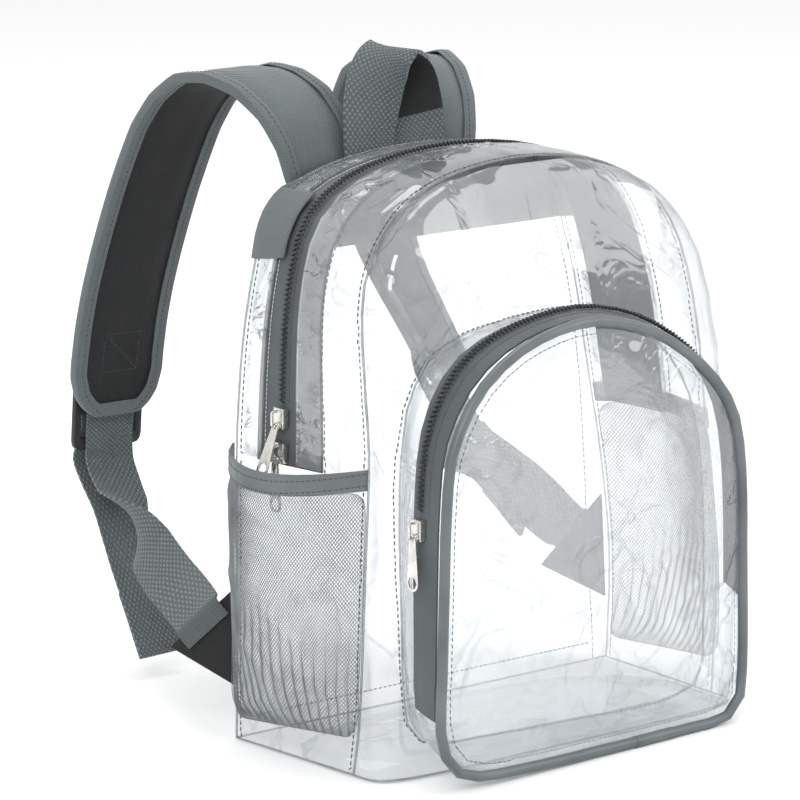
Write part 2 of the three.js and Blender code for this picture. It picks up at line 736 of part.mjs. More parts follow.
function buildYoke() {
  const wrap = yokeWrap / gussetDepth;
  const clear = vinylWall + 2 * seamGap;
  const rows = 6;
  const yokeFoot = bodyHeight - yokeDrop;
  const yokeTop = bodyHeight * yokeTopShare;
  const stations = [-1, -0.5, 0, 0.16, 0.33, 0.5, 0.67, 0.84, 1, 1.5, 2];
  const geometry = wallGeometry(rows, stations.length - 1, (i, j, inner) => {
    const station = stations[Math.round(j * (stations.length - 1))];
    const lift = inner ? 0 : yokeWall;
    if (station <= 0 || station >= 1) {
      const side = station <= 0 ? -1 : 1;
      const share = side < 0 ? -station : station - 1;
      const height = THREE.MathUtils.lerp(yokeFoot + 4 * share, yokeTop, i);
      const point = gussetPoint(alongAt(height, side), share * wrap, seamGap + lift);
      if (share === 0) point.y += clear + (inner ? 0 : yokeWall);
      return point;
    }
    const height = THREE.MathUtils.lerp(yokeFoot, yokeTop, i);
    const left = gussetPoint(alongAt(height, -1), 0);
    const right = gussetPoint(alongAt(height, 1), 0);
    const point = left.lerp(right, station);
    point.z += i * (archHeightAt(point.x) - yokeTop);
    point.y = topLean * (point.z / bodyHeight) + clear + lift;
    return point;
  });
  addPiece('yoke', 'trim', geometry);
}

function archHeightAt(x) {
  const side = x < 0 ? 'left' : 'right';
  const rows = [...backEdgeRows, { height: 1, left: 0, right: 0 }];
  const flipped = rows.map((row) => ({ share: -row[side], height: row.height }));
  return bodyHeight * readColumn(flipped, 'share', 'height', -Math.abs(x) / halfWidth) - 1;
}

// Ribbons: webbing and the handle, as rows of a centre and the way across

function ribbonGeometry(rows, width, wall, perRow) {
  const curve = smoothCurve(rows.map((row) => row.centre));
  return wallGeometry(perRow * (rows.length - 1), 1, (i, j, inner) => {
    const { centre, across, normal } = ribbonFrame(curve, rows, i);
    const out = inner ? -wall / 2 : wall / 2;
    return centre.addScaledVector(across, (j - 0.5) * width).addScaledVector(normal, out);
  });
}

function ribbonFrame(curve, rows, share) {
  const at = share * (rows.length - 1);
  const low = Math.min(Math.floor(at), rows.length - 2);
  const wide = rows[low].across.clone().lerp(rows[low + 1].across, at - low);
  const way = curve.getTangent(share);
  const across = wide.addScaledVector(way, -wide.dot(way)).normalize();
  return { centre: curve.getPoint(share), across, normal: across.clone().cross(way) };
}

function buildHandle() {
  const back = topLean + vinylWall + 5 * seamGap + yokeWall + handleWall / 2;
  const rows = handleRows.map((row) => {
    const angle = THREE.MathUtils.degToRad(row.turn);
    return {
      centre: new THREE.Vector3(
        topCentreX + handleShift + row.out * handleSpread,
        back + row.back,
        bodyHeight - handleDrop + row.up * handleRise,
      ),
      across: new THREE.Vector3(Math.cos(angle), Math.sin(angle), 0),
    };
  });
  addPiece('handle', 'trim', ribbonGeometry(rows, handleWidth, handleWall, 2));
}

// The shoulder pads

function padCurve(name) {
  return smoothCurve(padRows[name].map((row) => new THREE.Vector3(
    topCentreX + row.out * padReach, topLean + row.back * padReach, row.up * bodyHeight,
  )));
}

function padFrame(name, share) {
  const curve = padCurves[name];
  const at = THREE.MathUtils.clamp(share, 0, 1);
  const angle = THREE.MathUtils.degToRad(readShare(padRows[name], 'turn', at));
  const way = curve.getTangentAt(at);
  const wide = new THREE.Vector3(Math.cos(angle), Math.sin(angle), 0);
  const across = wide.addScaledVector(way, -wide.dot(way)).normalize();
  const centre = curve.getPointAt(at).addScaledVector(way, (share - at) * curve.getLength());
  return { centre, across, way, normal: across.clone().cross(way) };
}

const padCurves = { left: padCurve('left'), right: padCurve('right') };

// A row of a ribbon by the pad's lower end: along it past the end, and out from its middle layer
function padRow(name, along, out) {
  const { centre, across, normal } = padFrame(name, 1 + along / padCurves[name].getLength());
  return { centre: centre.addScaledVector(normal, out), across };
}

function padHalfWidth(share) {
  const full = THREE.MathUtils.lerp(padBaseWidth, padWidth, Math.min(share / 0.3, 1)) / 2;
  const round = THREE.MathUtils.clamp((share - 0.925) / 0.075, 0, 1);
  return full * Math.sqrt(1 - 0.72 * round ** 2);
}

function padHalfThickness(share, across) {
  const middle = Math.abs(across) < 0.6 ? 1 : 0;
  const base = THREE.MathUtils.smoothstep(share, 0, 0.16);
  const end = 1 - THREE.MathUtils.smoothstep(share, 0.86, 0.93);
  return (padEdgeThick + (padThick - padEdgeThick) * middle * base * end) / 2;
}

function buildPad(name) {
  const columns = [-1, -0.7, -0.45, 0, 0.45, 0.7, 1];
  const shares = [...stepsBetween(0, 0.9, 14), 0.93, 0.965, 0.985, 1];
  const inset = bindingWall + seamGap;
  const geometry = wallGeometry(shares.length - 1, columns.length - 1, (i, j, inner) => {
    const share = shares[Math.round(i * (shares.length - 1))];
    const across = columns[Math.round(j * (columns.length - 1))];
    const frame = padFrame(name, share);
    const half = padHalfThickness(share, across);
    return frame.centre.addScaledVector(frame.across, across * (padHalfWidth(share) - inset))
      .addScaledVector(frame.normal, inner ? -half : half);
  });
  addPiece(`${name}_strap_pad`, 'lining', geometry);
}

function buildBinding(name) {
  const inset = bindingWall + seamGap;
  const shares = [...stepsBetween(0, 0.9, 14), 0.93, 0.965, 0.985, 1];
  const edge = (share, side) => ({ share, across: side * (padHalfWidth(share) - inset) });
  const end = padHalfWidth(1) - inset;
  const path = [
    ...shares.map((share) => edge(share, -1)),
    { share: 1, across: -end / 3 },
    { share: 1, across: end / 3 },
    ...shares.map((share) => edge(share, 1)).reverse(),
  ].map(({ share, across }) => {
    const frame = padFrame(name, share);
    return { centre: frame.centre.addScaledVector(frame.across, across), normal: frame.normal };
  });
  const frames = path.map(({ centre, normal }, i) => {
    const after = path[Math.min(i + 1, path.length - 1)].centre.clone();
    const way = after.sub(path[Math.max(i - 1, 0)].centre).normalize();
    return { centre, x: normal.clone().cross(way).normalize(), y: normal };
  });
  const near = padEdgeThick / 2 + seamGap;
  const far = near + bindingWall;
  const corners = [
    [-bindingLip, near], [seamGap, near], [seamGap, -near], [-bindingLip, -near],
    [-bindingLip, -far], [inset, -far], [inset, far], [-bindingLip, far],
  ];
  const section = corners.map(([x, y]) => new THREE.Vector2(x, y));
  addPiece(`${name}_strap_binding`, 'trim', sweepGeometry(section, frames));
}

// The ladder locks, each held behind its pad's end by a loop round its top bar

function lockFrame(name) {
  const frame = padFrame(name, 1);
  frame.centre.addScaledVector(frame.way, lockDrop).addScaledVector(frame.normal, lockOut);
  return frame;
}

function buildLock(name) {
  const shape = roundedBox(lockWidth, lockHeight, 6);
  const slotWidth = lockWidth - 2 * lockBar;
  shape.holes.push(boxHole(slotWidth, lockSlots.upper.low, lockSlots.upper.high));
  shape.holes.push(boxHole(slotWidth, lockSlots.lower.low, lockSlots.lower.high));
  const lock = addPiece(`${name}_ladder_lock`, 'plastic', new THREE.ExtrudeGeometry(
    shape, { depth: lockThick, bevelEnabled: false, curveSegments: 3 },
  ));
  const frame = lockFrame(name);
  const up = frame.way.clone().negate();
  lock.quaternion.setFromRotationMatrix(new THREE.Matrix4().makeBasis(
    frame.across, up, frame.across.clone().cross(up),
  ));
  lock.position.copy(frame.centre).addScaledVector(frame.normal, lockThick / 2);
}

function roundedBox(width, height, radius) {
  const [x, y] = [width / 2, height / 2];
  const shape = new THREE.Shape();
  shape.moveTo(-x + radius, -y);
  shape.lineTo(x - radius, -y).quadraticCurveTo(x, -y, x, -y + radius);
  shape.lineTo(x, y - radius).quadraticCurveTo(x, y, x - radius, y);
  shape.lineTo(-x + radius, y).quadraticCurveTo(-x, y, -x, y - radius);
  shape.lineTo(-x, -y + radius).quadraticCurveTo(-x, -y, -x + radius, -y);
  return shape;
}

function boxHole(width, low, high) {
  const x = width / 2;
  const corners = [[-x, low], [x, low], [x, high], [-x, high]];
  return new THREE.Path(corners.map(([across, up]) => new THREE.Vector2(across, up)));
}

// A row of a ribbon by the lock: up from its middle, and out from it
function lockRow(name, up, out) {
  const { centre, across, way, normal } = lockFrame(name);
  return { centre: centre.addScaledVector(way, -up).addScaledVector(normal, out), across };
}

// A ribbon's turn round a bar whose edge is at height edge: off its outer side, over and down its inner side
function turnRows(name, edge, away) {
  const out = (lockThick + webbingWall) / 2 + seamGap;
  const past = webbingWall / 2 + 2 * seamGap;
  return [
    lockRow(name, edge - away * past, out),
    lockRow(name, edge + away * past * 0.6, out * 0.8),
    lockRow(name, edge + away * past, 0),
    lockRow(name, edge + away * past * 0.6, -out * 0.8),
    lockRow(name, edge - away * past, -out),
  ];
}

function buildLockLoop(name) {
  const onPad = padThick / 2 + webbingWall / 2 + seamGap;
  const over = onPad + webbingWall + seamGap;
  const out = (lockThick + webbingWall) / 2 + seamGap;
  const rows = [
    padRow(name, -loopOnPad, over), padRow(name, loopStraight - loopOnPad, over),
    lockRow(name, lockHeight / 2 + 2, out),
    ...turnRows(name, lockSlots.upper.high, -1),
    lockRow(name, lockHeight / 2 + 2, -out),
    padRow(name, loopStraight - loopOnPad, onPad), padRow(name, -loopOnPad, onPad),
  ];
  addPiece(`${name}_lock_loop`, 'trim', ribbonGeometry(rows, webbingWidth, webbingWall, 2));
}

// The wings, sewn into the back seams

function wingFrame(side) {
  const { low, high, reach, flare, up } = wingRows[side < 0 ? 'left' : 'right'];
  const seamAt = (share) => {
    const point = gussetPoint(alongAt(share * bodyHeight, side), 0);
    point.y += vinylWall + 3 * seamGap;
    return point;
  };
  const angle = THREE.MathUtils.degToRad(flare);
  const away = new THREE.Vector3(side * Math.sin(angle), Math.cos(angle), 0);
  const [top, foot] = [seamAt(high), seamAt(low)];
  const tip = top.clone().addScaledVector(away, reach * wingReach);
  tip.z = up * bodyHeight;
  const normal = new THREE.Vector3(side * Math.cos(angle), -Math.sin(angle), 0);
  const edge = tip.clone().sub(top);
  return { top, foot, tip, normal, edge };
}

function buildWing(name, side) {
  const { top, foot, tip, normal } = wingFrame(side);
  const points = [0, 1].flatMap((layer) => [top, foot, tip].map(
    (corner) => corner.clone().addScaledVector(normal, (layer - 0.5) * wingWall),
  ));
  const faces = [0, 1, 2, 3, 5, 4, 0, 3, 4, 0, 4, 1, 1, 4, 5, 1, 5, 2, 2, 5, 3, 2, 3, 0];
  addPiece(`${name}_wing`, 'trim', closedGeometry(points, faces));
}

// The webbing's end, sewn on its wing's outer face and taken over the wing's upper edge.
// The left webbing is turned over once on its way up, so its width starts the other way round.
function sewnRows(side) {
  const { top, normal, edge } = wingFrame(side);
  const across = edge.clone().normalize().multiplyScalar(-side);
  const up = normal.clone().cross(across);
  if (up.z < 0) up.negate();
  const middle = top.clone().addScaledVector(edge, 0.52);
  const out = (wingWall + webbingWall) / 2 + 2 * seamGap;
  const steps = [
    { rise: -8, lift: 1 }, { rise: -0.5, lift: 1 }, { rise: 2.6, lift: 0.6 }, { rise: 4, lift: -0.6 },
  ];
  return steps.map(({ rise, lift }) => ({
    centre: middle.clone().addScaledVector(up, rise).addScaledVector(normal, lift * out), across,
  }));
}

function buildWebbing(name, side) {
  const sewn = sewnRows(side);
  const bottom = -lockHeight / 2;
  const out = (lockThick + webbingWall) / 2 + seamGap;
  const [start, lockFoot] = [sewn.at(-1), lockRow(name, bottom - 6, -out - webbingWall)];
  const main = plyRows[name].map((row) => {
    const centre = start.centre.clone().lerp(lockFoot.centre, row.share);
    centre.z -= row.sag * padReach;
    return { centre, across: new THREE.Vector3(row.acrossX, row.acrossY, row.acrossZ) };
  });
  const tail = tailRows[name].map((row) => {
    const angle = THREE.MathUtils.degToRad(row.turn);
    return {
      centre: new THREE.Vector3(row.out * halfWidth, row.back * gussetDepth, row.up * bodyHeight),
      across: new THREE.Vector3(Math.cos(angle), Math.sin(angle), 0),
    };
  });
  const rows = [
    ...sewn, ...main, lockFoot, lockRow(name, bottom / 2, -out),
    ...turnRows(name, lockSlots.upper.low, 1).reverse(),
    lockRow(name, bottom / 2, out), lockRow(name, bottom - 8, out + 4 * webbingWall), ...tail,
  ];
  addPiece(`${name}_webbing`, 'trim', ribbonGeometry(rows, webbingWidth, webbingWall, 2));
}

// The zip sliders, each with a pull linked through its bridge

function buildSlider(name, seat) {
  const body = new THREE.BoxGeometry(sliderWidth, sliderLength, sliderThick);
  body.translate(0, 0, sliderThick / 2);
  const half = bridgeLength / 2;
  const top = sliderThick + bridgeRise;
  const outline = [
    [-half, sliderThick - 0.5], [half, sliderThick - 0.5], [half, top - 1],
    [half - 1, top], [1 - half, top], [-half, top - 1],
  ];
  const bridge = new THREE.Shape(outline.map(([y, z]) => new THREE.Vector2(y, z)));
  const inner = half - bridgeBar;
  const window = [
    [-inner, sliderThick], [-inner, top - bridgeBar], [inner, top - bridgeBar], [inner, sliderThick],
  ];
  bridge.holes.push(new THREE.Path(window.map(([y, z]) => new THREE.Vector2(y, z))));
  const ring = new THREE.ExtrudeGeometry(bridge, { depth: bridgeWidth, bevelEnabled: false });
  ring.translate(0, 0, -bridgeWidth / 2);
  ring.applyMatrix4(new THREE.Matrix4().makeBasis(
    new THREE.Vector3(0, 1, 0), new THREE.Vector3(0, 0, 1), new THREE.Vector3(1, 0, 0),
  ));
  const slider = addPiece(name, 'metal', fromSolid(toSolid(body).add(toSolid(ring))));
  placeOnBand(slider, seat);
}

function buildPull(name, seat, tilt = 0) {
  const eye = pullEye + pullRim;
  const shape = new THREE.Shape();
  const foot = -pullLength + eye;
  shape.moveTo(-eye, 0);
  shape.lineTo(-pullWidth / 2, foot + pullWidth / 2);
  shape.absarc(0, foot + pullWidth / 2, pullWidth / 2, Math.PI, 2 * Math.PI, false);
  shape.lineTo(eye, 0);
  shape.absarc(0, 0, eye, 0, Math.PI, false);
  shape.holes.push(new THREE.Path().absarc(0, 0, pullEye, 0, 2 * Math.PI, true));
  const round = pullWidth / 2;
  shape.holes.push(new THREE.Path().absarc(0, foot + round, round - pullBand, 0, 2 * Math.PI, true));
  const flat = { depth: pullWall, bevelEnabled: false, curveSegments: 4 };
  const plate = new THREE.ExtrudeGeometry(shape, flat);
  const window = sliderThick + (bridgeRise - bridgeBar) / 2;
  plate.translate(0, 0, -pullWall / 2);
  plate.rotateX(THREE.MathUtils.degToRad(-tilt));
  plate.translate(0, -(bridgeLength - bridgeBar) / 2, window);
  placeOnBand(addPiece(name, 'metal', plate), seat);
}

// Stands a piece on a band at the left, its own +Z out of the band and its +Y up
function placeOnBand(piece, seat) {
  piece.quaternion.setFromRotationMatrix(new THREE.Matrix4().makeBasis(
    new THREE.Vector3(0, -1, 0), new THREE.Vector3(0, 0, 1), new THREE.Vector3(-1, 0, 0),
  ));
  piece.position.copy(seat);
}

function buildZipEnds() {
  const across = coilFromBack / gussetDepth;
  const [upper, lower] = [upperSliderHeight, upperSliderHeight - sliderSpacing]
    .map((height) => gussetPoint(alongAt(height, -1), across, tapeFace + 2 * seamGap));
  buildSlider('main_zip_slider_upper', upper);
  buildPull('main_zip_pull_upper', upper, upperPullTilt);
  buildSlider('main_zip_slider_lower', lower);
  buildPull('main_zip_pull_lower', lower);
  const pocket = pocketBandPoint(pocketSliderAt, pocketTape.coilAcross, false, 0, 0.3);
  buildSlider('pocket_zip_slider', pocket);
  buildPull('pocket_zip_pull', pocket);
}

buildFloor();
buildBackPanel();
buildFrontPanel();
buildBand();
buildMainCoil();
buildPocket();
buildPocketCoil();
buildYoke();
buildHandle();
for (const [name, side] of [['left', -1], ['right', 1]]) {
  buildMeshPocket(name, side);
  buildPad(name);
  buildBinding(name);
  buildLock(name);
  buildLockLoop(name);
  buildWing(name, side);
  buildWebbing(name, side);
}
buildZipEnds();

export default new THREE.Group().add(bag);
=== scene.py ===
# The looks of a clear vinyl stadium backpack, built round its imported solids. Lengths are metres.
# Tables of places are in millimetres and are read with mm.
import math

import bmesh
import bpy
from mathutils import Matrix, Vector, kdtree, noise


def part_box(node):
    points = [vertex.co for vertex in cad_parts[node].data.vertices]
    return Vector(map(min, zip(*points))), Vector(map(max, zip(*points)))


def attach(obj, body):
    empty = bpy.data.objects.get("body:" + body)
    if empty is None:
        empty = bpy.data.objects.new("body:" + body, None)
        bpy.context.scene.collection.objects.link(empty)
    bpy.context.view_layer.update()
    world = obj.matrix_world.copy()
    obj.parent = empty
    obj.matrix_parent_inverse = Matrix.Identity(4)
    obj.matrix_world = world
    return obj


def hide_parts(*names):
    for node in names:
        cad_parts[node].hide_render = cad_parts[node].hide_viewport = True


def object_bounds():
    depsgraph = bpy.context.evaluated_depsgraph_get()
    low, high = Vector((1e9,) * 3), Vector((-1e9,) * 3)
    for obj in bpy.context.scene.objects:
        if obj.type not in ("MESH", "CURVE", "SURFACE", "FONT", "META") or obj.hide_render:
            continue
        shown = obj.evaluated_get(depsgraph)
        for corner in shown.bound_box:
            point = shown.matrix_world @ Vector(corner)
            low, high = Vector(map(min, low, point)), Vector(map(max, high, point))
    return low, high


mm = 0.001

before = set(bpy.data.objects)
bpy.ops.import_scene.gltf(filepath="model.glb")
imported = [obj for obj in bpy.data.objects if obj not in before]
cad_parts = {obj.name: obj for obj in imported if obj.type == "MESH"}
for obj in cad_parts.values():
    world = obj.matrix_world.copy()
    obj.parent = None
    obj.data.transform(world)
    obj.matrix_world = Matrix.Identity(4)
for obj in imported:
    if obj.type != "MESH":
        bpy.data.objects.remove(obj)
cadLow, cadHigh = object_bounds()
bpy.ops.object.select_all(action="DESELECT")
print("frame loaded")

# The photograph's camera, and a plain white studio

camera = {"place": (-1.51483, -1.78179, 0.66245), "turn": (78.2, 0, -39.3), "lens": 202.5, "sensor": 36}
studio = {
    "lights": [
        {"place": (-1.7, -1.3, 1.5), "size": 1.1, "power": 26},
        {"place": (1.5, -1.5, 1.2), "size": 1.4, "power": 18},
        {"place": (0.2, 0.6, 2.3), "size": 1.6, "power": 26},
    ],
    "aim": (0, 0, 0.15),
    "sky": 0.95,
    "floor": 0.9,
}


def addCamera():
    turn = [math.radians(angle) for angle in camera["turn"]]
    bpy.ops.object.camera_add(location=camera["place"], rotation=turn)
    eye = bpy.context.object
    eye.data.lens = camera["lens"]
    eye.data.sensor_width = camera["sensor"]
    eye.data.clip_end = 60
    bpy.context.scene.camera = eye


def addStudio():
    for light in studio["lights"]:
        way = Vector(studio["aim"]) - Vector(light["place"])
        turn = way.to_track_quat("-Z", "Y").to_euler()
        bpy.ops.object.light_add(type="AREA", location=light["place"], rotation=turn)
        lamp = bpy.context.object.data
        lamp.size = light["size"]
        lamp.energy = light["power"]
    world = bpy.context.scene.world or bpy.data.worlds.new("sky")
    bpy.context.scene.world = world
    world.use_nodes = True
    sky = world.node_tree.nodes["Background"]
    sky.inputs["Color"].default_value = (1, 1, 1, 1)
    sky.inputs["Strength"].default_value = studio["sky"]
    bpy.ops.mesh.primitive_plane_add(size=30, location=(0, 0, cadLow.z))
    floor = bpy.context.object
    floor.name = "floor"
    floor.data.materials.append(makePaper())
    bpy.context.scene.view_settings.view_transform = "Standard"
    bpy.context.scene.cycles.transparent_max_bounces = 48


# Node helpers


def newMaterial(name):
    material = bpy.data.materials.new(name)
    material.use_nodes = True
    material.node_tree.nodes.clear()
    return material, material.node_tree


def addNode(tree, kind, values=None, **settings):
    item = tree.nodes.new("ShaderNode" + kind)
    for key, value in settings.items():
        setattr(item, key, value)
    for key, value in (values or {}).items():
        if isinstance(value, bpy.types.NodeSocket):
            tree.links.new(value, item.inputs[key])
        else:
            item.inputs[key].default_value = value
    return item


def sum2(tree, kind, first, second):
    return addNode(tree, "Math", {0: first, 1: second}, operation=kind).outputs[0]


def spread(tree, value, low, high, newLow, newHigh):
    values = {"Value": value, "From Min": low, "From Max": high, "To Min": newLow, "To Max": newHigh}
    return addNode(tree, "MapRange", values).outputs[0]


def blendColour(tree, share, first, second):
    values = {0: share, 6: (*first, 1) if isinstance(first, tuple) else first,
              7: (*second, 1) if isinstance(second, tuple) else second}
    return addNode(tree, "Mix", values, data_type="RGBA").outputs[2]


def output(tree, shader):
    addNode(tree, "OutputMaterial", {"Surface": shader})


# Finishes


def makePaper():
    material, tree = newMaterial("white_paper")
    tone = studio["floor"]
    grain = addNode(tree, "TexNoise", {"Scale": 300.0, "Detail": 2.0}).outputs[0]
    bump = addNode(tree, "Bump", {"Height": grain, "Strength": 0.02, "Distance": 0.0002})
    shader = addNode(tree, "BsdfPrincipled", {
        "Base Color": (tone, tone, tone, 1), "Roughness": 0.8, "Normal": bump.outputs[0],
    })
    output(tree, shader.outputs[0])
    return material


# Clear sheet: it lets the ground through, mirrors the studio, and its tint is painted grey along its crinkles and
# where it turns from the view: painted shade that stands in for refraction
def makeVinyl(name, look):
    material, tree = newMaterial(name)
    place = addNode(tree, "TexCoord").outputs["Object"]
    soft = addNode(tree, "TexNoise", {"Vector": place, "Scale": look["softScale"], "Detail": 2.0, "Distortion": 0.8})
    folds = addNode(tree, "TexNoise", {
        "Vector": place, "Scale": look["foldScale"], "Detail": 3.0, "Roughness": 0.5, "Distortion": 1.4,
    })
    offMiddle = addNode(tree, "Math", {0: folds.outputs[0], 1: 0.5}, operation="SUBTRACT").outputs[0]
    line = spread(tree, addNode(tree, "Math", {0: offMiddle}, operation="ABSOLUTE").outputs[0], 0.0, 0.035, 1.0, 0.0)
    where = spread(tree, soft.outputs[0], 0.42, 0.62, 0.0, 1.0)
    crease = sum2(tree, "MULTIPLY", line, where)
    height = sum2(tree, "ADD", soft.outputs[0], sum2(tree, "MULTIPLY", crease, look["crease"]))
    bump = addNode(tree, "Bump", {"Height": height, "Strength": look["bump"], "Distance": 0.004}).outputs[0]
    facing = addNode(tree, "LayerWeight", {"Blend": 0.35, "Normal": bump}).outputs["Facing"]
    # Painted shade: the clear tint is darkened where the bumped sheet turns from the view and along the crinkles
    grey = sum2(tree, "ADD", spread(tree, facing, 0.25, 1.0, 0.0, look["edgePaintedShade"]),
                sum2(tree, "MULTIPLY", crease, look["creasePaintedShade"]))
    tint = blendColour(tree, grey, look["tint"], look["shade"])
    through = addNode(tree, "BsdfTransparent", {"Color": tint})
    haze = addNode(tree, "BsdfDiffuse", {"Color": (*look["haze"], 1), "Normal": bump})
    body = addNode(tree, "MixShader", {0: look["hazeShare"], 1: through.outputs[0], 2: haze.outputs[0]})
    gloss = addNode(tree, "BsdfGlossy", {"Color": (1, 1, 1, 1), "Roughness": look["roughness"], "Normal": bump})
    slope = addNode(tree, "LayerWeight", {"Blend": 0.5, "Normal": bump}).outputs["Facing"]
    mirror = spread(tree, sum2(tree, "POWER", slope, 4.0), 0.0, 1.0, look["mirror"], 0.7)
    shader = addNode(tree, "MixShader", {0: mirror, 1: body.outputs[0], 2: gloss.outputs[0]})
    output(tree, shader.outputs[0])
    return material


# Woven cloth or webbing: two sets of bands cross, fibres and wear vary its colour, and the colour follows the
# weave's height: painted shade in its hollows, painted highlight on its raised threads
def makeWeave(name, look):
    material, tree = newMaterial(name)
    place = addNode(tree, "TexCoord").outputs[look["coordinates"]]
    turn = (0, 0, math.radians(look["turn"]))
    turned = addNode(tree, "Mapping", {"Vector": place, "Rotation": turn}).outputs[0]
    bands = []
    for way in look["bands"]:
        wave = addNode(tree, "TexWave", {
            "Vector": turned, "Scale": 0.314 / look["pitch"], "Distortion": 0.5, "Detail": 1.0, "Detail Scale": 2.0,
        }, bands_direction=way)
        bands.append(wave.outputs[1])
    weave = sum2(tree, "MULTIPLY", *bands)
    fibre = addNode(tree, "TexNoise", {"Vector": turned, "Scale": 1.4 / look["pitch"], "Detail": 3.0}).outputs[0]
    wear = addNode(tree, "TexNoise", {"Vector": place, "Scale": 24.0, "Detail": 3.0}).outputs[0]
    raised = sum2(tree, "ADD", weave, sum2(tree, "MULTIPLY", fibre, 0.5))
    # Painted shade and highlight: the colour goes from dark in the weave's hollows to light on its raised threads
    share = spread(tree, raised, 0.05, 1.2, 0.0, 1.0)
    colour = blendColour(tree, share, look["low"], look["high"])
    worn = blendColour(tree, spread(tree, wear, 0.35, 0.75, 0.0, 0.35), colour, look["worn"])
    bump = addNode(tree, "Bump", {"Height": raised, "Strength": look["bump"], "Distance": look["depth"]})
    shader = addNode(tree, "BsdfPrincipled", {
        "Base Color": worn,
        "Roughness": spread(tree, fibre, 0.3, 0.7, look["roughness"] - 0.08, look["roughness"] + 0.08),
        "Sheen Weight": look["sheen"], "Sheen Roughness": 0.5, "Normal": bump.outputs[0],
    })
    output(tree, shader.outputs[0])
    return material


def makeSmooth(name, look):
    material, tree = newMaterial(name)
    place = addNode(tree, "TexCoord").outputs["Object"]
    grain = addNode(tree, "TexNoise", {"Vector": place, "Scale": look["grain"], "Detail": 4.0}).outputs[0]
    cloud = addNode(tree, "TexNoise", {"Vector": place, "Scale": look["cloud"], "Detail": 2.0}).outputs[0]
    colour = blendColour(tree, spread(tree, cloud, 0.3, 0.7, 0.0, 1.0), look["low"], look["high"])
    rough = spread(tree, grain, 0.3, 0.7, look["roughness"] - look["spread"], look["roughness"] + look["spread"])
    bump = addNode(tree, "Bump", {"Height": grain, "Strength": look["bump"], "Distance": 0.0002})
    shader = addNode(tree, "BsdfPrincipled", {
        "Base Color": colour, "Metallic": look["metallic"], "Roughness": rough, "Normal": bump.outputs[0],
    })
    output(tree, shader.outputs[0])
    return material


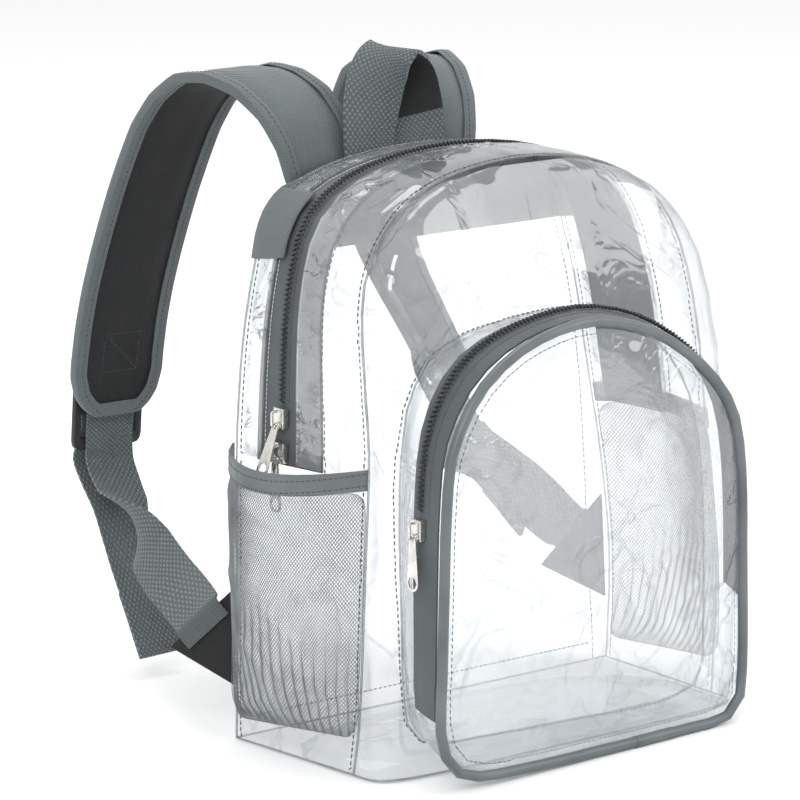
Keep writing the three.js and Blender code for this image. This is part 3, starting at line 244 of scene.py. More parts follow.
vinylLook = {
    "softScale": 14.0, "foldScale": 20.0, "bump": 0.26, "crease": 0.4, "edgePaintedShade": 0.7, "creasePaintedShade": 0.13,
    "tint": (0.975, 0.981, 0.985), "shade": (0.42, 0.45, 0.47), "haze": (0.86, 0.88, 0.9), "hazeShare": 0.055,
    "roughness": 0.05, "mirror": 0.05,
}
weaveLook = {
    "coordinates": "Object", "turn": 45, "bands": ("X", "Z"), "pitch": 0.0008, "depth": 0.0003, "bump": 0.5,
    "low": (0.045, 0.055, 0.058), "high": (0.15, 0.172, 0.18), "worn": (0.12, 0.138, 0.145),
    "roughness": 0.85, "sheen": 0.15,
}
finishes = {
    "vinyl": makeVinyl("clear_vinyl", vinylLook),
    # The crinkled copy paints stronger shade along its crinkles
    "crinkled": makeVinyl("crinkled_vinyl", {
        **vinylLook, "softScale": 40.0, "foldScale": 60.0, "bump": 0.8, "creasePaintedShade": 0.5, "hazeShare": 0.08,
    }),
    # A darker copy of the clear finish for the seam edges: painted shade for their dark outlines
    "edge": makeVinyl("vinyl_edge_painted_shade", {**vinylLook, "tint": (0.6, 0.62, 0.63), "shade": (0.2, 0.21, 0.22)}),
    "trim": makeWeave("grey_cloth", weaveLook),
    "tape": makeWeave("grey_zip_tape", {
        **weaveLook, "pitch": 0.0006, "low": (0.035, 0.042, 0.045), "high": (0.1, 0.115, 0.12),
    }),
    "webbing": makeWeave("grey_webbing", {
        **weaveLook, "coordinates": "UV", "bands": ("X", "Y"), "pitch": 0.0021, "depth": 0.0007, "bump": 0.9,
        "low": (0.03, 0.037, 0.04), "high": (0.16, 0.185, 0.195),
    }),
    # Black cloth: the wings' own colour, and painted shade on the inner faces of the handle and pads
    "lining": makeWeave("black_cloth_and_painted_shade", {
        **weaveLook, "low": (0.002, 0.002, 0.0025), "high": (0.011, 0.012, 0.013), "worn": (0.008, 0.009, 0.01),
        "sheen": 0.05,
    }),
    "piping": makeSmooth("grey_piping", {
        "grain": 900.0, "cloud": 30.0, "low": (0.075, 0.088, 0.093), "high": (0.115, 0.132, 0.138),
        "roughness": 0.38, "spread": 0.06, "bump": 0.12, "metallic": 0.0,
    }),
    "net": makeSmooth("grey_net", {
        "grain": 2500.0, "cloud": 60.0, "low": (0.12, 0.13, 0.135), "high": (0.23, 0.25, 0.255),
        "roughness": 0.6, "spread": 0.1, "bump": 0.4, "metallic": 0.0,
    }),
    "teeth": makeSmooth("dark_zip_teeth", {
        "grain": 2000.0, "cloud": 90.0, "low": (0.012, 0.014, 0.015), "high": (0.03, 0.034, 0.036),
        "roughness": 0.4, "spread": 0.08, "bump": 0.1, "metallic": 0.0,
    }),
    "plastic": makeSmooth("black_plastic", {
        "grain": 1600.0, "cloud": 50.0, "low": (0.004, 0.004, 0.0045), "high": (0.008, 0.008, 0.009),
        "roughness": 0.4, "spread": 0.08, "bump": 0.25, "metallic": 0.0,
    }),
    "nickel": makeSmooth("nickel", {
        "grain": 700.0, "cloud": 120.0, "low": (0.62, 0.6, 0.57), "high": (0.8, 0.78, 0.74),
        "roughness": 0.24, "spread": 0.08, "bump": 0.1, "metallic": 1.0,
    }),
    "thread": makeSmooth("dark_thread", {
        "grain": 3000.0, "cloud": 200.0, "low": (0.02, 0.023, 0.025), "high": (0.06, 0.066, 0.07),
        "roughness": 0.7, "spread": 0.1, "bump": 0.5, "metallic": 0.0,
    }),
    # Light thread for the stitch rows along the zip tape's edges: its light colour paints the highlight of the
    # tape's folded edges
    "paintedHighlightThread": makeSmooth("pale_thread_painted_highlight", {
        "grain": 3000.0, "cloud": 200.0, "low": (0.4, 0.42, 0.43), "high": (0.62, 0.64, 0.65),
        "roughness": 0.7, "spread": 0.1, "bump": 0.5, "metallic": 0.0,
    }),
}
print("finishes made")

# Modelling helpers


def pick(piece):
    bpy.ops.object.select_all(action="DESELECT")
    piece.select_set(True)
    bpy.context.view_layer.objects.active = piece


def applyModifier(piece, kind, **values):
    pick(piece)
    modifier = piece.modifiers.new(kind.lower(), kind)
    for key, value in values.items():
        setattr(modifier, key, value)
    bpy.ops.object.modifier_apply(modifier=modifier.name)


def subdivide(piece, levels, kind="CATMULL_CLARK"):
    applyModifier(piece, "SUBSURF", levels=levels, render_levels=levels, subdivision_type=kind)


def copyOf(node, name):
    piece = bpy.data.objects.new(name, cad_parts[node].data.copy())
    bpy.context.collection.objects.link(piece)
    piece.data.materials.clear()
    pick(piece)
    bpy.ops.mesh.customdata_custom_splitnormals_clear()
    bpy.ops.object.mode_set(mode="EDIT")
    bpy.ops.mesh.select_all(action="SELECT")
    bpy.ops.mesh.remove_doubles(threshold=0.00001)
    bpy.ops.object.mode_set(mode="OBJECT")
    return piece


def joinTriangles(piece, limit=60):
    pick(piece)
    bpy.ops.object.mode_set(mode="EDIT")
    bpy.ops.mesh.select_all(action="SELECT")
    bpy.ops.mesh.tris_convert_to_quads(
        face_threshold=math.radians(limit), shape_threshold=math.radians(limit),
    )
    bpy.ops.object.mode_set(mode="OBJECT")


# Keeps only the faces of a wall that look outwards
def outerSheet(node, name, facing):
    piece = copyOf(node, name)
    bpy.ops.object.mode_set(mode="EDIT")
    bpy.ops.mesh.select_mode(type="FACE")
    bpy.ops.mesh.select_all(action="DESELECT")
    bpy.ops.object.mode_set(mode="OBJECT")
    for face in piece.data.polygons:
        face.select = facing(face.center, face.normal) < 0.25
    bpy.ops.object.mode_set(mode="EDIT")
    bpy.ops.mesh.delete(type="FACE")
    bpy.ops.object.mode_set(mode="OBJECT")
    joinTriangles(piece)
    return piece


def ease(share):
    share = min(max(share, 0), 1)
    return share * share * (3 - 2 * share)


# Moves a sheet's points out along their normals: broad dents, and sharp folds that meet at angles
def crumple(piece, folds, seed):
    shape = bmesh.new()
    shape.from_mesh(piece.data)
    shape.normal_update()
    rim = [v.co.copy() for v in shape.verts if v.is_boundary]
    tree = kdtree.KDTree(max(len(rim), 1))
    for index, point in enumerate(rim):
        tree.insert(point, index)
    tree.balance()
    shift = Vector((seed * 3.71, seed * 1.37, seed * 2.13))
    for v in shape.verts:
        share = ease(tree.find(v.co)[2] / folds["fade"]) if rim else 1
        dent = 0.5 + 0.5 * noise.noise(v.co * folds["dentScale"] + shift)
        bend = Vector((noise.noise(v.co * 18 + shift), noise.noise(v.co * 18 - shift), 0)) * 0.25
        crease = 1 - min(abs(noise.noise(v.co * folds["creaseScale"] + bend - shift)) * 5, 1)
        v.co += v.normal * share * (dent * folds["dent"] + crease * folds["crease"])
    shape.to_mesh(piece.data)
    shape.free()


def dress(piece, finish, nodes=(), body="bag", angle=50):
    if finish and not piece.data.materials:
        piece.data.materials.append(finishes[finish])
    pick(piece)
    bpy.ops.object.shade_smooth_by_angle(angle=math.radians(angle))
    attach(piece, body)
    if nodes:
        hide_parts(*nodes)
    return piece


def alongPath(points, pitch, closed=False):
    steps = list(points) + ([points[0]] if closed else [])
    left = pitch / 2
    for start, end in zip(steps, steps[1:]):
        way = end - start
        length = way.length
        while left < length:
            yield start + way * (left / length), way / length
            left += pitch
        left -= length


# One mesh of a small shape set down at many places
def strew(name, shape, places):
    corners = [v.co.copy() for v in shape.data.vertices]
    faces = [tuple(face.vertices) for face in shape.data.polygons]
    points = []
    joined = []
    for place in places:
        start = len(points)
        points += [place @ corner for corner in corners]
        joined += [tuple(start + corner for corner in face) for face in faces]
    mesh = bpy.data.meshes.new(name)
    mesh.from_pydata(points, [], joined)
    piece = bpy.data.objects.new(name, mesh)
    bpy.context.collection.objects.link(piece)
    bpy.data.objects.remove(shape)
    return piece


def roundShape(length, width, height):
    bpy.ops.mesh.primitive_uv_sphere_add(segments=6, ring_count=4, radius=0.5, rotation=(0, math.radians(90), 0))
    shape = bpy.context.object
    shape.scale = (height, width, length)
    bpy.ops.object.transform_apply(location=False, rotation=True, scale=True)
    return shape


def placeOn(spot, along, normal):
    across = normal.cross(along).normalized()
    place = Matrix((across.cross(normal), across, normal)).transposed().to_4x4()
    place.translation = spot
    return place


# The places of a row of stitches along a path, each laid on the nearest part of a piece
def sew(points, onto, pitch, lift, closed=False):
    places = []
    for point, way in alongPath(points, pitch, closed):
        found, spot, normal, _ = onto.closest_point_on_mesh(point)
        if found and (spot - point).length < 0.03 and abs(normal.dot(way)) < 0.9:
            places.append(placeOn(spot + normal * lift, way, normal))
    return places


def tubeAlong(name, points, radius, closed=False, sides=2):
    line = bpy.data.curves.new(name, "CURVE")
    line.dimensions = "3D"
    spline = line.splines.new("POLY")
    spline.points.add(len(points) - 1)
    for spot, point in zip(spline.points, points):
        spot.co = (*point, 1)
    spline.use_cyclic_u = closed
    line.bevel_depth = radius
    line.bevel_resolution = sides
    line.use_fill_caps = not closed
    piece = bpy.data.objects.new(name, line)
    bpy.context.collection.objects.link(piece)
    pick(piece)
    bpy.ops.object.convert(target="MESH")
    return bpy.context.object


# Ribbons: rows of a centre and the way across, joined by a smooth line


def ribbonAt(rows, share):
    at = share * (len(rows) - 1)
    low = min(int(at), len(rows) - 2)
    t = at - low
    a, b, c, d = [
        Vector(rows[min(max(low + k, 0), len(rows) - 1)][:3]) * mm for k in (-1, 0, 1, 2)
    ]
    centre = (b * 2 + (c - a) * t + (a * 2 - b * 5 + c * 4 - d) * t * t + (b * 3 - a - c * 3 + d) * t ** 3) / 2
    wide = Vector(rows[low][3:6]).lerp(Vector(rows[low + 1][3:6]), t).normalized()
    return centre, wide


def ribbon(name, rows, width, wall, perRow=4, columns=8):
    steps = (len(rows) - 1) * perRow
    bpy.ops.mesh.primitive_grid_add(x_subdivisions=columns, y_subdivisions=steps, size=1)
    piece = bpy.context.object
    piece.name = name
    line = [ribbonAt(rows, k / 200)[0] for k in range(201)]
    length = sum((b - a).length for a, b in zip(line, line[1:]))
    for corner in piece.data.uv_layers[0].data:
        corner.uv = (corner.uv[0] * width, corner.uv[1] * length)
    for v in piece.data.vertices:
        centre, wide = ribbonAt(rows, v.co.y + 0.5)
        v.co = centre + wide * v.co.x * width
    applyModifier(piece, "SOLIDIFY", thickness=wall, offset=0)
    return piece, length

# The bag's seams, from the left foot over the top to the right foot. Both lists keep step with each other.

backSeam = [
    (-129.9, 46.2, 1.6), (-129.1, 46.9, 20.4), (-128.3, 47.6, 39.2), (-127.5, 48.4, 58),
    (-126.8, 49.1, 76.8), (-126.1, 49.9, 95.7), (-125.5, 50.6, 114.5), (-124.7, 51.3, 133.3),
    (-124, 52.1, 152.5), (-123.1, 52.7, 167), (-121.7, 53.2, 181.5), (-120, 53.8, 196),
    (-117.9, 54.4, 210.4), (-115.3, 54.9, 224.7), (-111.9, 55.5, 238.9), (-108, 56.1, 252.9),
    (-104.5, 56.6, 267.1), (-97.6, 57.1, 279.9), (-86.1, 57.5, 288.6), (-72.8, 57.7, 294.5),
    (-58.8, 57.8, 298.6), (-44.5, 58, 301.4), (-30, 58, 303.3), (-15.5, 58.1, 304.5), (-0.9, 58.1, 305),
    (13.6, 58.1, 304.7), (28.2, 58, 303.7), (42.7, 58, 302.1), (57, 57.9, 299.6), (70.9, 57.7, 295.2),
    (83.9, 57.5, 288.7), (94.7, 57.1, 279.1), (100.9, 56.6, 265.9), (104.4, 56, 251.8),
    (108.6, 55.5, 237.8), (112.3, 54.9, 223.7), (115, 54.3, 209.4), (117.2, 53.8, 195),
    (119.4, 53.2, 180.6), (121.7, 52.6, 166.3), (124.3, 52.1, 151.9), (127.7, 51.3, 133),
    (130.4, 50.6, 114.3), (132.7, 49.9, 95.6), (134.5, 49.1, 76.8), (135.2, 48.4, 58), (134.5, 47.6, 39.2),
    (133, 46.9, 20.4), (131.4, 46.2, 1.6),
]
frontSeam = [
    (-124.5, -46, 1.6), (-121, -45.3, 20), (-118.7, -44.6, 38.7), (-117.1, -43.9, 57.4),
    (-115.6, -43.1, 76.2), (-114.2, -42.4, 94.9), (-112.8, -41.7, 113.7), (-111.2, -41, 132.4),
    (-109.6, -40.2, 151.5), (-109, -39.7, 166), (-109.4, -39.1, 180.6), (-110.2, -38.5, 195.1),
    (-110.8, -38, 209.6), (-111.4, -37.4, 224.2), (-111.1, -36.8, 238.7), (-109.1, -36.3, 253.1),
    (-103.8, -35.7, 266.6), (-95.3, -35.3, 278.3), (-85, -34.9, 288.6), (-72.8, -34.6, 296.4),
    (-59.2, -34.4, 301.6), (-45, -34.3, 305), (-30.6, -34.2, 307.2), (-16.1, -34.1, 308.5),
    (-1.6, -34.1, 309), (13, -34.1, 308.4), (27.4, -34.2, 306.6), (41.7, -34.3, 303.8),
    (55.6, -34.5, 299.5), (69, -34.7, 293.9), (81.6, -35, 286.6), (92, -35.4, 276.5), (100.8, -35.8, 264.9),
    (107.5, -36.3, 252), (112.3, -36.8, 238.3), (115.9, -37.4, 224.2), (118.6, -37.9, 209.9),
    (120.7, -38.5, 195.5), (122.1, -39.1, 181), (123.3, -39.6, 166.6), (124.7, -40.2, 152.1),
    (126.6, -40.9, 133), (128.4, -41.7, 114.2), (130.2, -42.4, 95.5), (131.3, -43.1, 76.7),
    (130.8, -43.9, 57.9), (129.3, -44.6, 39.1), (127.8, -45.3, 20.4), (126.3, -46, 1.6),
]

# The pocket's seam on the front panel and its piped rim, clockwise from the middle of the foot

pocketSeam = [
    (-5, -72.5, 14.7), (-18.5, -72.5, 15), (-32, -72.5, 15.4), (-45.5, -72.4, 15.9), (-58.9, -72.3, 16.4),
    (-72.4, -72.1, 16.7), (-85.9, -71.4, 17.3), (-99, -70.1, 20.1), (-106.7, -68, 30),
    (-107.9, -66.8, 43.4), (-108.1, -65.8, 56.8), (-107.7, -65, 70.3), (-107.3, -64.2, 83.8),
    (-107.1, -63.3, 97.2), (-106.9, -62.4, 110.7), (-106.5, -61.5, 124.2), (-105.9, -60.7, 137.6),
    (-105.2, -60, 151.1), (-104.2, -59.6, 164.5), (-102.9, -60.2, 178), (-101.1, -60.7, 191.3),
    (-96.5, -61.7, 203.9), (-88.9, -62.4, 215), (-77.6, -62.7, 222.2), (-64.8, -62.8, 226.3),
    (-51.5, -62.8, 228.7), (-38.1, -62.7, 230.4), (-24.7, -62.6, 231.5), (-11.2, -62.5, 232.2),
    (2.3, -62.6, 231.8), (15.6, -62.8, 229.6), (28.6, -63.2, 226.2), (41.3, -63.7, 221.6),
    (53.2, -64.3, 215.4), (64.3, -64.8, 207.7), (74, -64.9, 198.3), (82.2, -65, 187.6),
    (88.6, -65.1, 175.7), (92.9, -65.4, 163), (95.4, -65.8, 149.7), (96.8, -66.2, 136.3),
    (97.7, -66.8, 122.9), (97.9, -67.4, 109.4), (97.6, -68, 95.9), (97.2, -68.6, 82.5), (97, -69.1, 69),
    (96.8, -69.6, 55.5), (96.4, -70.1, 42), (95.7, -70.7, 28.6), (89, -71.5, 18), (75.9, -72.1, 14.8),
    (62.4, -72.4, 13.8), (48.9, -72.5, 13.6), (35.5, -72.6, 13.5), (22, -72.6, 13.7), (8.5, -72.5, 14.2),
]
pocketRim = [
    (-5, -98.7, 3.5), (-19, -99.4, 3.6), (-33, -100, 3.8), (-46.9, -100.6, 4.1), (-60.9, -101.2, 4.6),
    (-74.9, -101.9, 5.1), (-88.8, -102.5, 6.5), (-102, -103.1, 10.9), (-111.2, -103.5, 21),
    (-114.7, -103.7, 34.5), (-114.6, -103.7, 48.5), (-113.8, -103.6, 62.5), (-113.4, -103.6, 76.4),
    (-113, -103.6, 90.4), (-112.6, -103.6, 104.4), (-112.2, -103.6, 118.4), (-111.8, -103.5, 132.4),
    (-111.1, -103.5, 146.4), (-110.1, -103.5, 160.3), (-108, -103.4, 174.2), (-102.5, -103.1, 187),
    (-95, -102.8, 198.8), (-85.4, -102.3, 208.9), (-74, -101.8, 217), (-61.6, -101.3, 223.3),
    (-48.3, -100.7, 227.7), (-34.6, -100.1, 230.7), (-20.7, -99.4, 232.2), (-6.8, -98.8, 232.2),
    (7, -98.2, 229.8), (20.5, -97.6, 226.2), (33.6, -97, 221.3), (46, -96.4, 214.8), (57.8, -95.9, 207.4),
    (69.2, -95.4, 199.3), (79.6, -94.9, 190), (88.7, -94.5, 179.4), (95.3, -94.2, 167.1),
    (98.7, -94.1, 153.6), (100.6, -94, 139.7), (101.7, -93.9, 125.8), (102.2, -93.9, 111.8),
    (102.4, -93.9, 97.8), (102.8, -93.9, 83.8), (103.3, -93.8, 69.8), (103.7, -93.8, 55.8),
    (103.9, -93.8, 41.8), (103.7, -93.8, 27.8), (102.3, -93.9, 14), (92.7, -94.3, 4.4), (78.9, -94.9, 2.6),
    (64.9, -95.6, 3), (50.9, -96.2, 3), (36.9, -96.8, 3), (23, -97.5, 3.1), (9, -98.1, 3.3),
]


def vectors(rows):
    return [Vector(row[:3]) * mm for row in rows]


def squareOut(line, k, closed=False):
    count = len(line)
    before = line[(k - 1) % count if closed else max(k - 1, 0)]
    after = line[(k + 1) % count if closed else min(k + 1, count - 1)]
    way = after - before
    return Vector((-way.z, 0, way.x)).normalized()


# A line on the gusset: across from the back seam to the front one, and out from its surface
def bandLine(across, out):
    line = [back.lerp(front, across) for back, front in zip(vectors(backSeam), vectors(frontSeam))]
    swell = 0.002 * math.sin(math.pi * across)
    return [spot + squareOut(line, k) * (out + swell) for k, spot in enumerate(line)]


# The same on the front pocket's gusset, from its seam to its rim
def pocketLine(across, out):
    line = [seam.lerp(rim, across) for seam, rim in zip(vectors(pocketSeam), vectors(pocketRim))]
    swell = [0.004 * math.sin(math.pi * across) * ease((spot.z - 0.01) / 0.05) for spot in line]
    return [spot + squareOut(line, k, True) * (out + swell[k]) for k, spot in enumerate(line)]


def partOf(line, low, high):
    def at(share):
        k = min(int(share), len(line) - 2)
        return line[k].lerp(line[k + 1], share - k)
    return [at(low)] + [line[k] for k in range(math.ceil(low), math.floor(high) + 1)] + [at(high)]


# A strip between two lines that keep step with each other
def stripSheet(name, first, second, columns=6, perRow=4):
    steps = (len(first) - 1) * perRow
    bpy.ops.mesh.primitive_grid_add(x_subdivisions=columns, y_subdivisions=steps, size=1)
    piece = bpy.context.object
    piece.name = name
    for v in piece.data.vertices:
        at = (v.co.y + 0.5) * (len(first) - 1)
        k = min(int(at), len(first) - 2)
        left = first[k].lerp(first[k + 1], at - k)
        right = second[k].lerp(second[k + 1], at - k)
        v.co = left.lerp(right, v.co.x + 0.5)
    return piece


# Clear sheets


def downwards(spot, normal):
    return -normal.z


def ahead(spot, normal):
    return -normal.y


def roundFront(spot, normal):
    return Vector((spot.x * 0.3, spot.y + 0.02, 0)).normalized().dot(normal)


def offBand(spot, normal):
    return Vector((spot.x, 0, max(spot.z - 0.2, 0))).normalized().dot(normal)


def offPocket(spot, normal):
    return Vector((spot.x + 0.005, 0, spot.z - 0.115)).normalized().dot(normal)


softFolds = {"dentScale": 16, "dent": 0.0018, "creaseScale": 20, "crease": 0.0008, "fade": 0.012}
stiffFolds = {**softFolds, "dent": 0.0006, "crease": 0.0003}
sheets = {
    "floor_sheet": {"node": "floor_panel", "facing": downwards, "levels": 2, "folds": stiffFolds},
    "front_sheet": {"node": "front_panel", "facing": roundFront, "levels": 3, "folds": softFolds},
    "left_side_sheet": {"node": "left_side_panel", "facing": offBand, "levels": 3, "folds": softFolds},
    "right_side_sheet": {"node": "right_side_panel", "facing": offBand, "levels": 3, "folds": softFolds},
    "rear_gusset_sheet": {"node": "rear_gusset", "facing": offBand, "levels": 3, "folds": stiffFolds},
    "front_gusset_sheet": {"node": "front_gusset", "facing": offBand, "levels": 3, "folds": softFolds},
    "pocket_front_sheet": {"node": "pocket_front", "facing": ahead, "levels": 3, "folds": softFolds},
    "pocket_rear_sheet": {"node": "pocket_rear_gusset", "facing": offPocket, "levels": 3, "folds": stiffFolds},
    "pocket_lower_sheet": {"node": "pocket_lower_gusset", "facing": offPocket, "levels": 3, "folds": stiffFolds},
}
sheetWall = 0.0005
cutShare = 0.92
cutWidths = {
    "floor_sheet": 0.11, "front_sheet": 0.262, "left_side_sheet": 0.095, "right_side_sheet": 0.095,
    "rear_gusset_sheet": 0.019, "front_gusset_sheet": 0.05, "pocket_front_sheet": 0.215,
    "pocket_rear_sheet": 0.02, "pocket_lower_sheet": 0.03, "back_sheet": 0.266,
}


# Each panel is cut flat: its area is measured before it gets its wall
def declareCut(piece, area, against):
    wide = cutWidths[piece.name]
    print("cut", piece.name, wide, round(area / wide / cutShare, 4), round(area, 5))


def makeSheets():
    made = {}
    for seed, (name, sheet) in enumerate(sheets.items()):
        piece = outerSheet(sheet["node"], name, sheet["facing"])
        subdivide(piece, sheet["levels"])
        crumple(piece, sheet["folds"], seed + 1)
        area = sum(face.area for face in piece.data.polygons)
        applyModifier(piece, "SOLIDIFY", thickness=sheetWall, offset=-1)
        made[name] = dress(piece, "vinyl", [sheet["node"]])
        under = "floor" if name == "floor_sheet" else "floor_sheet"
        declareCut(piece, area, "front_sheet" if "pocket" in name else under)
    return made


def makeBackSheet():
    left = bandLine(0, -0.0004)[:24]
    right = bandLine(0, -0.0004)[:-25:-1]
    lean = Vector((0, 0.0009, 0))
    piece = stripSheet("back_sheet", [spot + lean for spot in left], [spot + lean for spot in right], 24, 3)
    crumple(piece, {**stiffFolds, "dent": 0.0008}, 20)
    area = sum(face.area for face in piece.data.polygons)
    applyModifier(piece, "SOLIDIFY", thickness=sheetWall, offset=0)
    dress(piece, "vinyl", ["back_panel"])
    declareCut(piece, area, "floor_sheet")
    return piece


clear = makeSheets()
clear["back_sheet"] = makeBackSheet()
print("clear sheets made")

# Seams: a folded edge and a row of stitches through it

stitch = {"length": 0.0027, "width": 0.001, "height": 0.0006, "pitch": 0.0034}
edges = {
    "back_seam_edge": {"line": bandLine(0, 0.0003), "radius": 0.0006},
    "front_seam_edge": {"line": bandLine(1, 0.0003), "radius": 0.0007},
    "pocket_seam_edge": {"line": pocketLine(0, 0.0006), "radius": 0.0006, "closed": True},
}


def floorLine():
    back = [Vector((-0.13, 0.0465, 0)), Vector((-0.1278, 0, 0))]
    turn = [math.pi * (1 - k / 40) for k in range(41)]
    front = [Vector((
        0.1255 * math.copysign(abs(math.cos(a)) ** 0.4, math.cos(a)), -0.0465 - 0.026 * math.sin(a) ** 0.4, 0,
    )) for a in turn]
    line = back + front + [Vector((0.129, 0, 0)), Vector((0.1313, 0.0465, 0)), Vector((0, 0.0465, 0))]
    return [spot + Vector((0, 0, 0.0014)) for spot in line]


edges["floor_seam_edge"] = {"line": floorLine(), "radius": 0.0006, "closed": True}


def makeEdges():
    for name, edge in edges.items():
        # The seam edges take the darker clear finish: painted shade along the folds
        dress(tubeAlong(name, edge["line"], edge["radius"], edge.get("closed", False)), "edge", [])


# The row of stitches inside the back sheet's right edge
def insetBack():
    return [Vector((0.004 - spot.x, spot.y + 0.001, spot.z)) for spot in bandLine(0, -0.011)[:22]]


def makeStitches():
    band = clear["front_gusset_sheet"], clear["rear_gusset_sheet"]
    sides = clear["left_side_sheet"], clear["right_side_sheet"]
    frontLine = bandLine(0.965, 0)
    backLine = bandLine(0.035, 0)
    back = clear["back_sheet"]
    foot = [Vector((-0.118, 0.048, 0.011)), Vector((0.12, 0.048, 0.011))]
    rows = [
        (frontLine[8:41], band[0]), (frontLine[:9], sides[0]), (frontLine[40:], sides[1]),
        (backLine[8:41], band[1]), (backLine[:9], sides[0]), (backLine[40:], sides[1]),
        (bandLine(0.69, 0)[8:41], band[0]),
        (insetBack(), back), (foot, back),
    ]
    places = []
    for line, onto in rows:
        places += sew(line, onto, stitch["pitch"], 0.0002)
    places += sew(pocketLine(-0.09, 0.002), clear["front_sheet"], stitch["pitch"], 0.0002, True)
    shape = roundShape(stitch["length"], stitch["width"], stitch["height"])
    piece = strew("seam_stitches", shape, places)
    dress(piece, "thread")
    print("stitches", len(places))


makeEdges()
makeStitches()
print("seams made")

# Zips: woven tapes, coils of teeth, and their stitch lines

mainZip = {"across": 0.366, "out": 0.0008, "low": 10.25, "high": 39.7, "pitch": 0.0026}
pocketZip = {"across": 0.6, "out": 0.0018, "low": 16.8, "high": 43.4, "pitch": 0.0026}
tooth = {"length": 0.00085, "width": 0.0027, "height": 0.0019, "bevel": 0.0003, "apart": 0.0009, "slant": 0.28}
facing = {"dentScale": 60, "dent": 0.0007, "creaseScale": 70, "crease": 0.0006, "fade": 0.003}


def toothShape():
    bpy.ops.mesh.primitive_cube_add(size=1)
    shape = bpy.context.object
    shape.scale = (tooth["length"], tooth["width"], tooth["height"])
    bpy.ops.object.transform_apply(scale=True)
    bpy.ops.object.mode_set(mode="EDIT")
    bpy.ops.mesh.select_all(action="SELECT")
    bpy.ops.mesh.bevel(offset=tooth["bevel"], segments=1)
    bpy.ops.object.mode_set(mode="OBJECT")
    return shape


def makeTeeth(name, line, zipper, node):
    places = []
    for k, (spot, way) in enumerate(alongPath(line, zipper["pitch"] / 2)):
        normal = Vector((-way.z, 0, way.x)).normalized()
        across = normal.cross(way).normalized()
        side = 1 if k % 2 else -1
        slanted = (way + across * tooth["slant"] * side).normalized()
        places.append(placeOn(spot + across * side * tooth["apart"], slanted, normal))
    return dress(strew(name, toothShape(), places), "teeth", [node])


def makeTape(node, name):
    piece = copyOf(node, name)
    joinTriangles(piece)
    subdivide(piece, 2, "SIMPLE")
    return dress(piece, "tape", [node])


def makeFacing(name, line, low, high, out, part, seed):
    first = partOf(line(low, out), *part)
    second = partOf(line(high, out), *part)
    piece = stripSheet(name, first, second, 8, 10)
    crumple(piece, facing, seed)
    applyModifier(piece, "SOLIDIFY", thickness=0.0004, offset=-1)
    return dress(piece, "crinkled", [])


def makeZips():
    mainTape = makeTape("main_zip_tape", "main_zip_tape_cloth")
    pocketTape = makeTape("pocket_zip_tape", "pocket_zip_tape_cloth")
    mainPart = (mainZip["low"], mainZip["high"])
    pocketPart = (pocketZip["low"], pocketZip["high"])
    mainLine = partOf(bandLine(mainZip["across"], mainZip["out"]), *mainPart)
    pocketPath = partOf(pocketLine(pocketZip["across"], pocketZip["out"]), *pocketPart)
    makeTeeth("main_zip_teeth", mainLine, mainZip, "main_zip_coil")
    makeTeeth("pocket_zip_teeth", pocketPath, pocketZip, "pocket_zip_coil")
    makeFacing("main_facing_front", bandLine, 0.475, 0.66, 0.0004, (8.1, 39.9), 31)
    makeFacing("main_facing_rear", bandLine, 0.06, 0.2, 0.0004, (8.1, 39.9), 32)
    places = []
    for across in (0.335, 0.4):
        places += sew(partOf(bandLine(across, -0.001), *mainPart), mainTape, 0.002, 0.0001)
    for across in (0.5, 0.72):
        places += sew(partOf(pocketLine(across, 0.0), *pocketPart), pocketTape, 0.002, 0.0001)
    shape = roundShape(0.0016, 0.0005, 0.0004)
    dress(strew("zip_tape_stitches", shape, places), "thread")
    # Light-coloured stitch rows along the tape's edges: painted highlight of the tape's folded edges
    highlightStitches = []
    for across in (0.215, 0.465):
        highlightStitches += sew(partOf(bandLine(across, -0.001), 8.2, 39.8), mainTape, 0.0024, 0.0004)
    dress(strew("zip_edge_highlight_stitches", roundShape(0.0021, 0.0006, 0.0005), highlightStitches), "paintedHighlightThread")
    print("zips made", len(places) + len(highlightStitches))


makeZips()

# The front pocket's piping, its overlap and the stitches inside it

piping = {"radius": 0.0028, "overlap": (52.0, 54.0), "sleeve": 0.0031}


def makePiping():
    rim = vectors(pocketRim)
    dress(tubeAlong("pocket_piping_round", rim, piping["radius"], True, 5), "piping", ["pocket_piping"])
    sleeve = tubeAlong("piping_overlap", partOf(rim, *piping["overlap"]), piping["sleeve"], False, 5)
    dress(sleeve, "piping", [])
    onto = clear["pocket_front_sheet"]
    inner = [spot.lerp(Vector((-0.005, spot.y, 0.115)), 0.055) for spot in rim]
    places = sew(inner, onto, 0.0034, 0.0002, True)
    dress(strew("pocket_rim_stitches", roundShape(0.0026, 0.0006, 0.0004), places), "thread")


makePiping()
print("piping made")

# Mesh pockets: a knitted net under a grey rim

net = {"levels": 3, "thread": 0.00055, "pleat": 0.0022, "pleats": 8}
rim = {"rises": (0.0025, 0.0085), "steps": 24, "sag": 0.007, "bulge": 0.024, "top": 0.148}


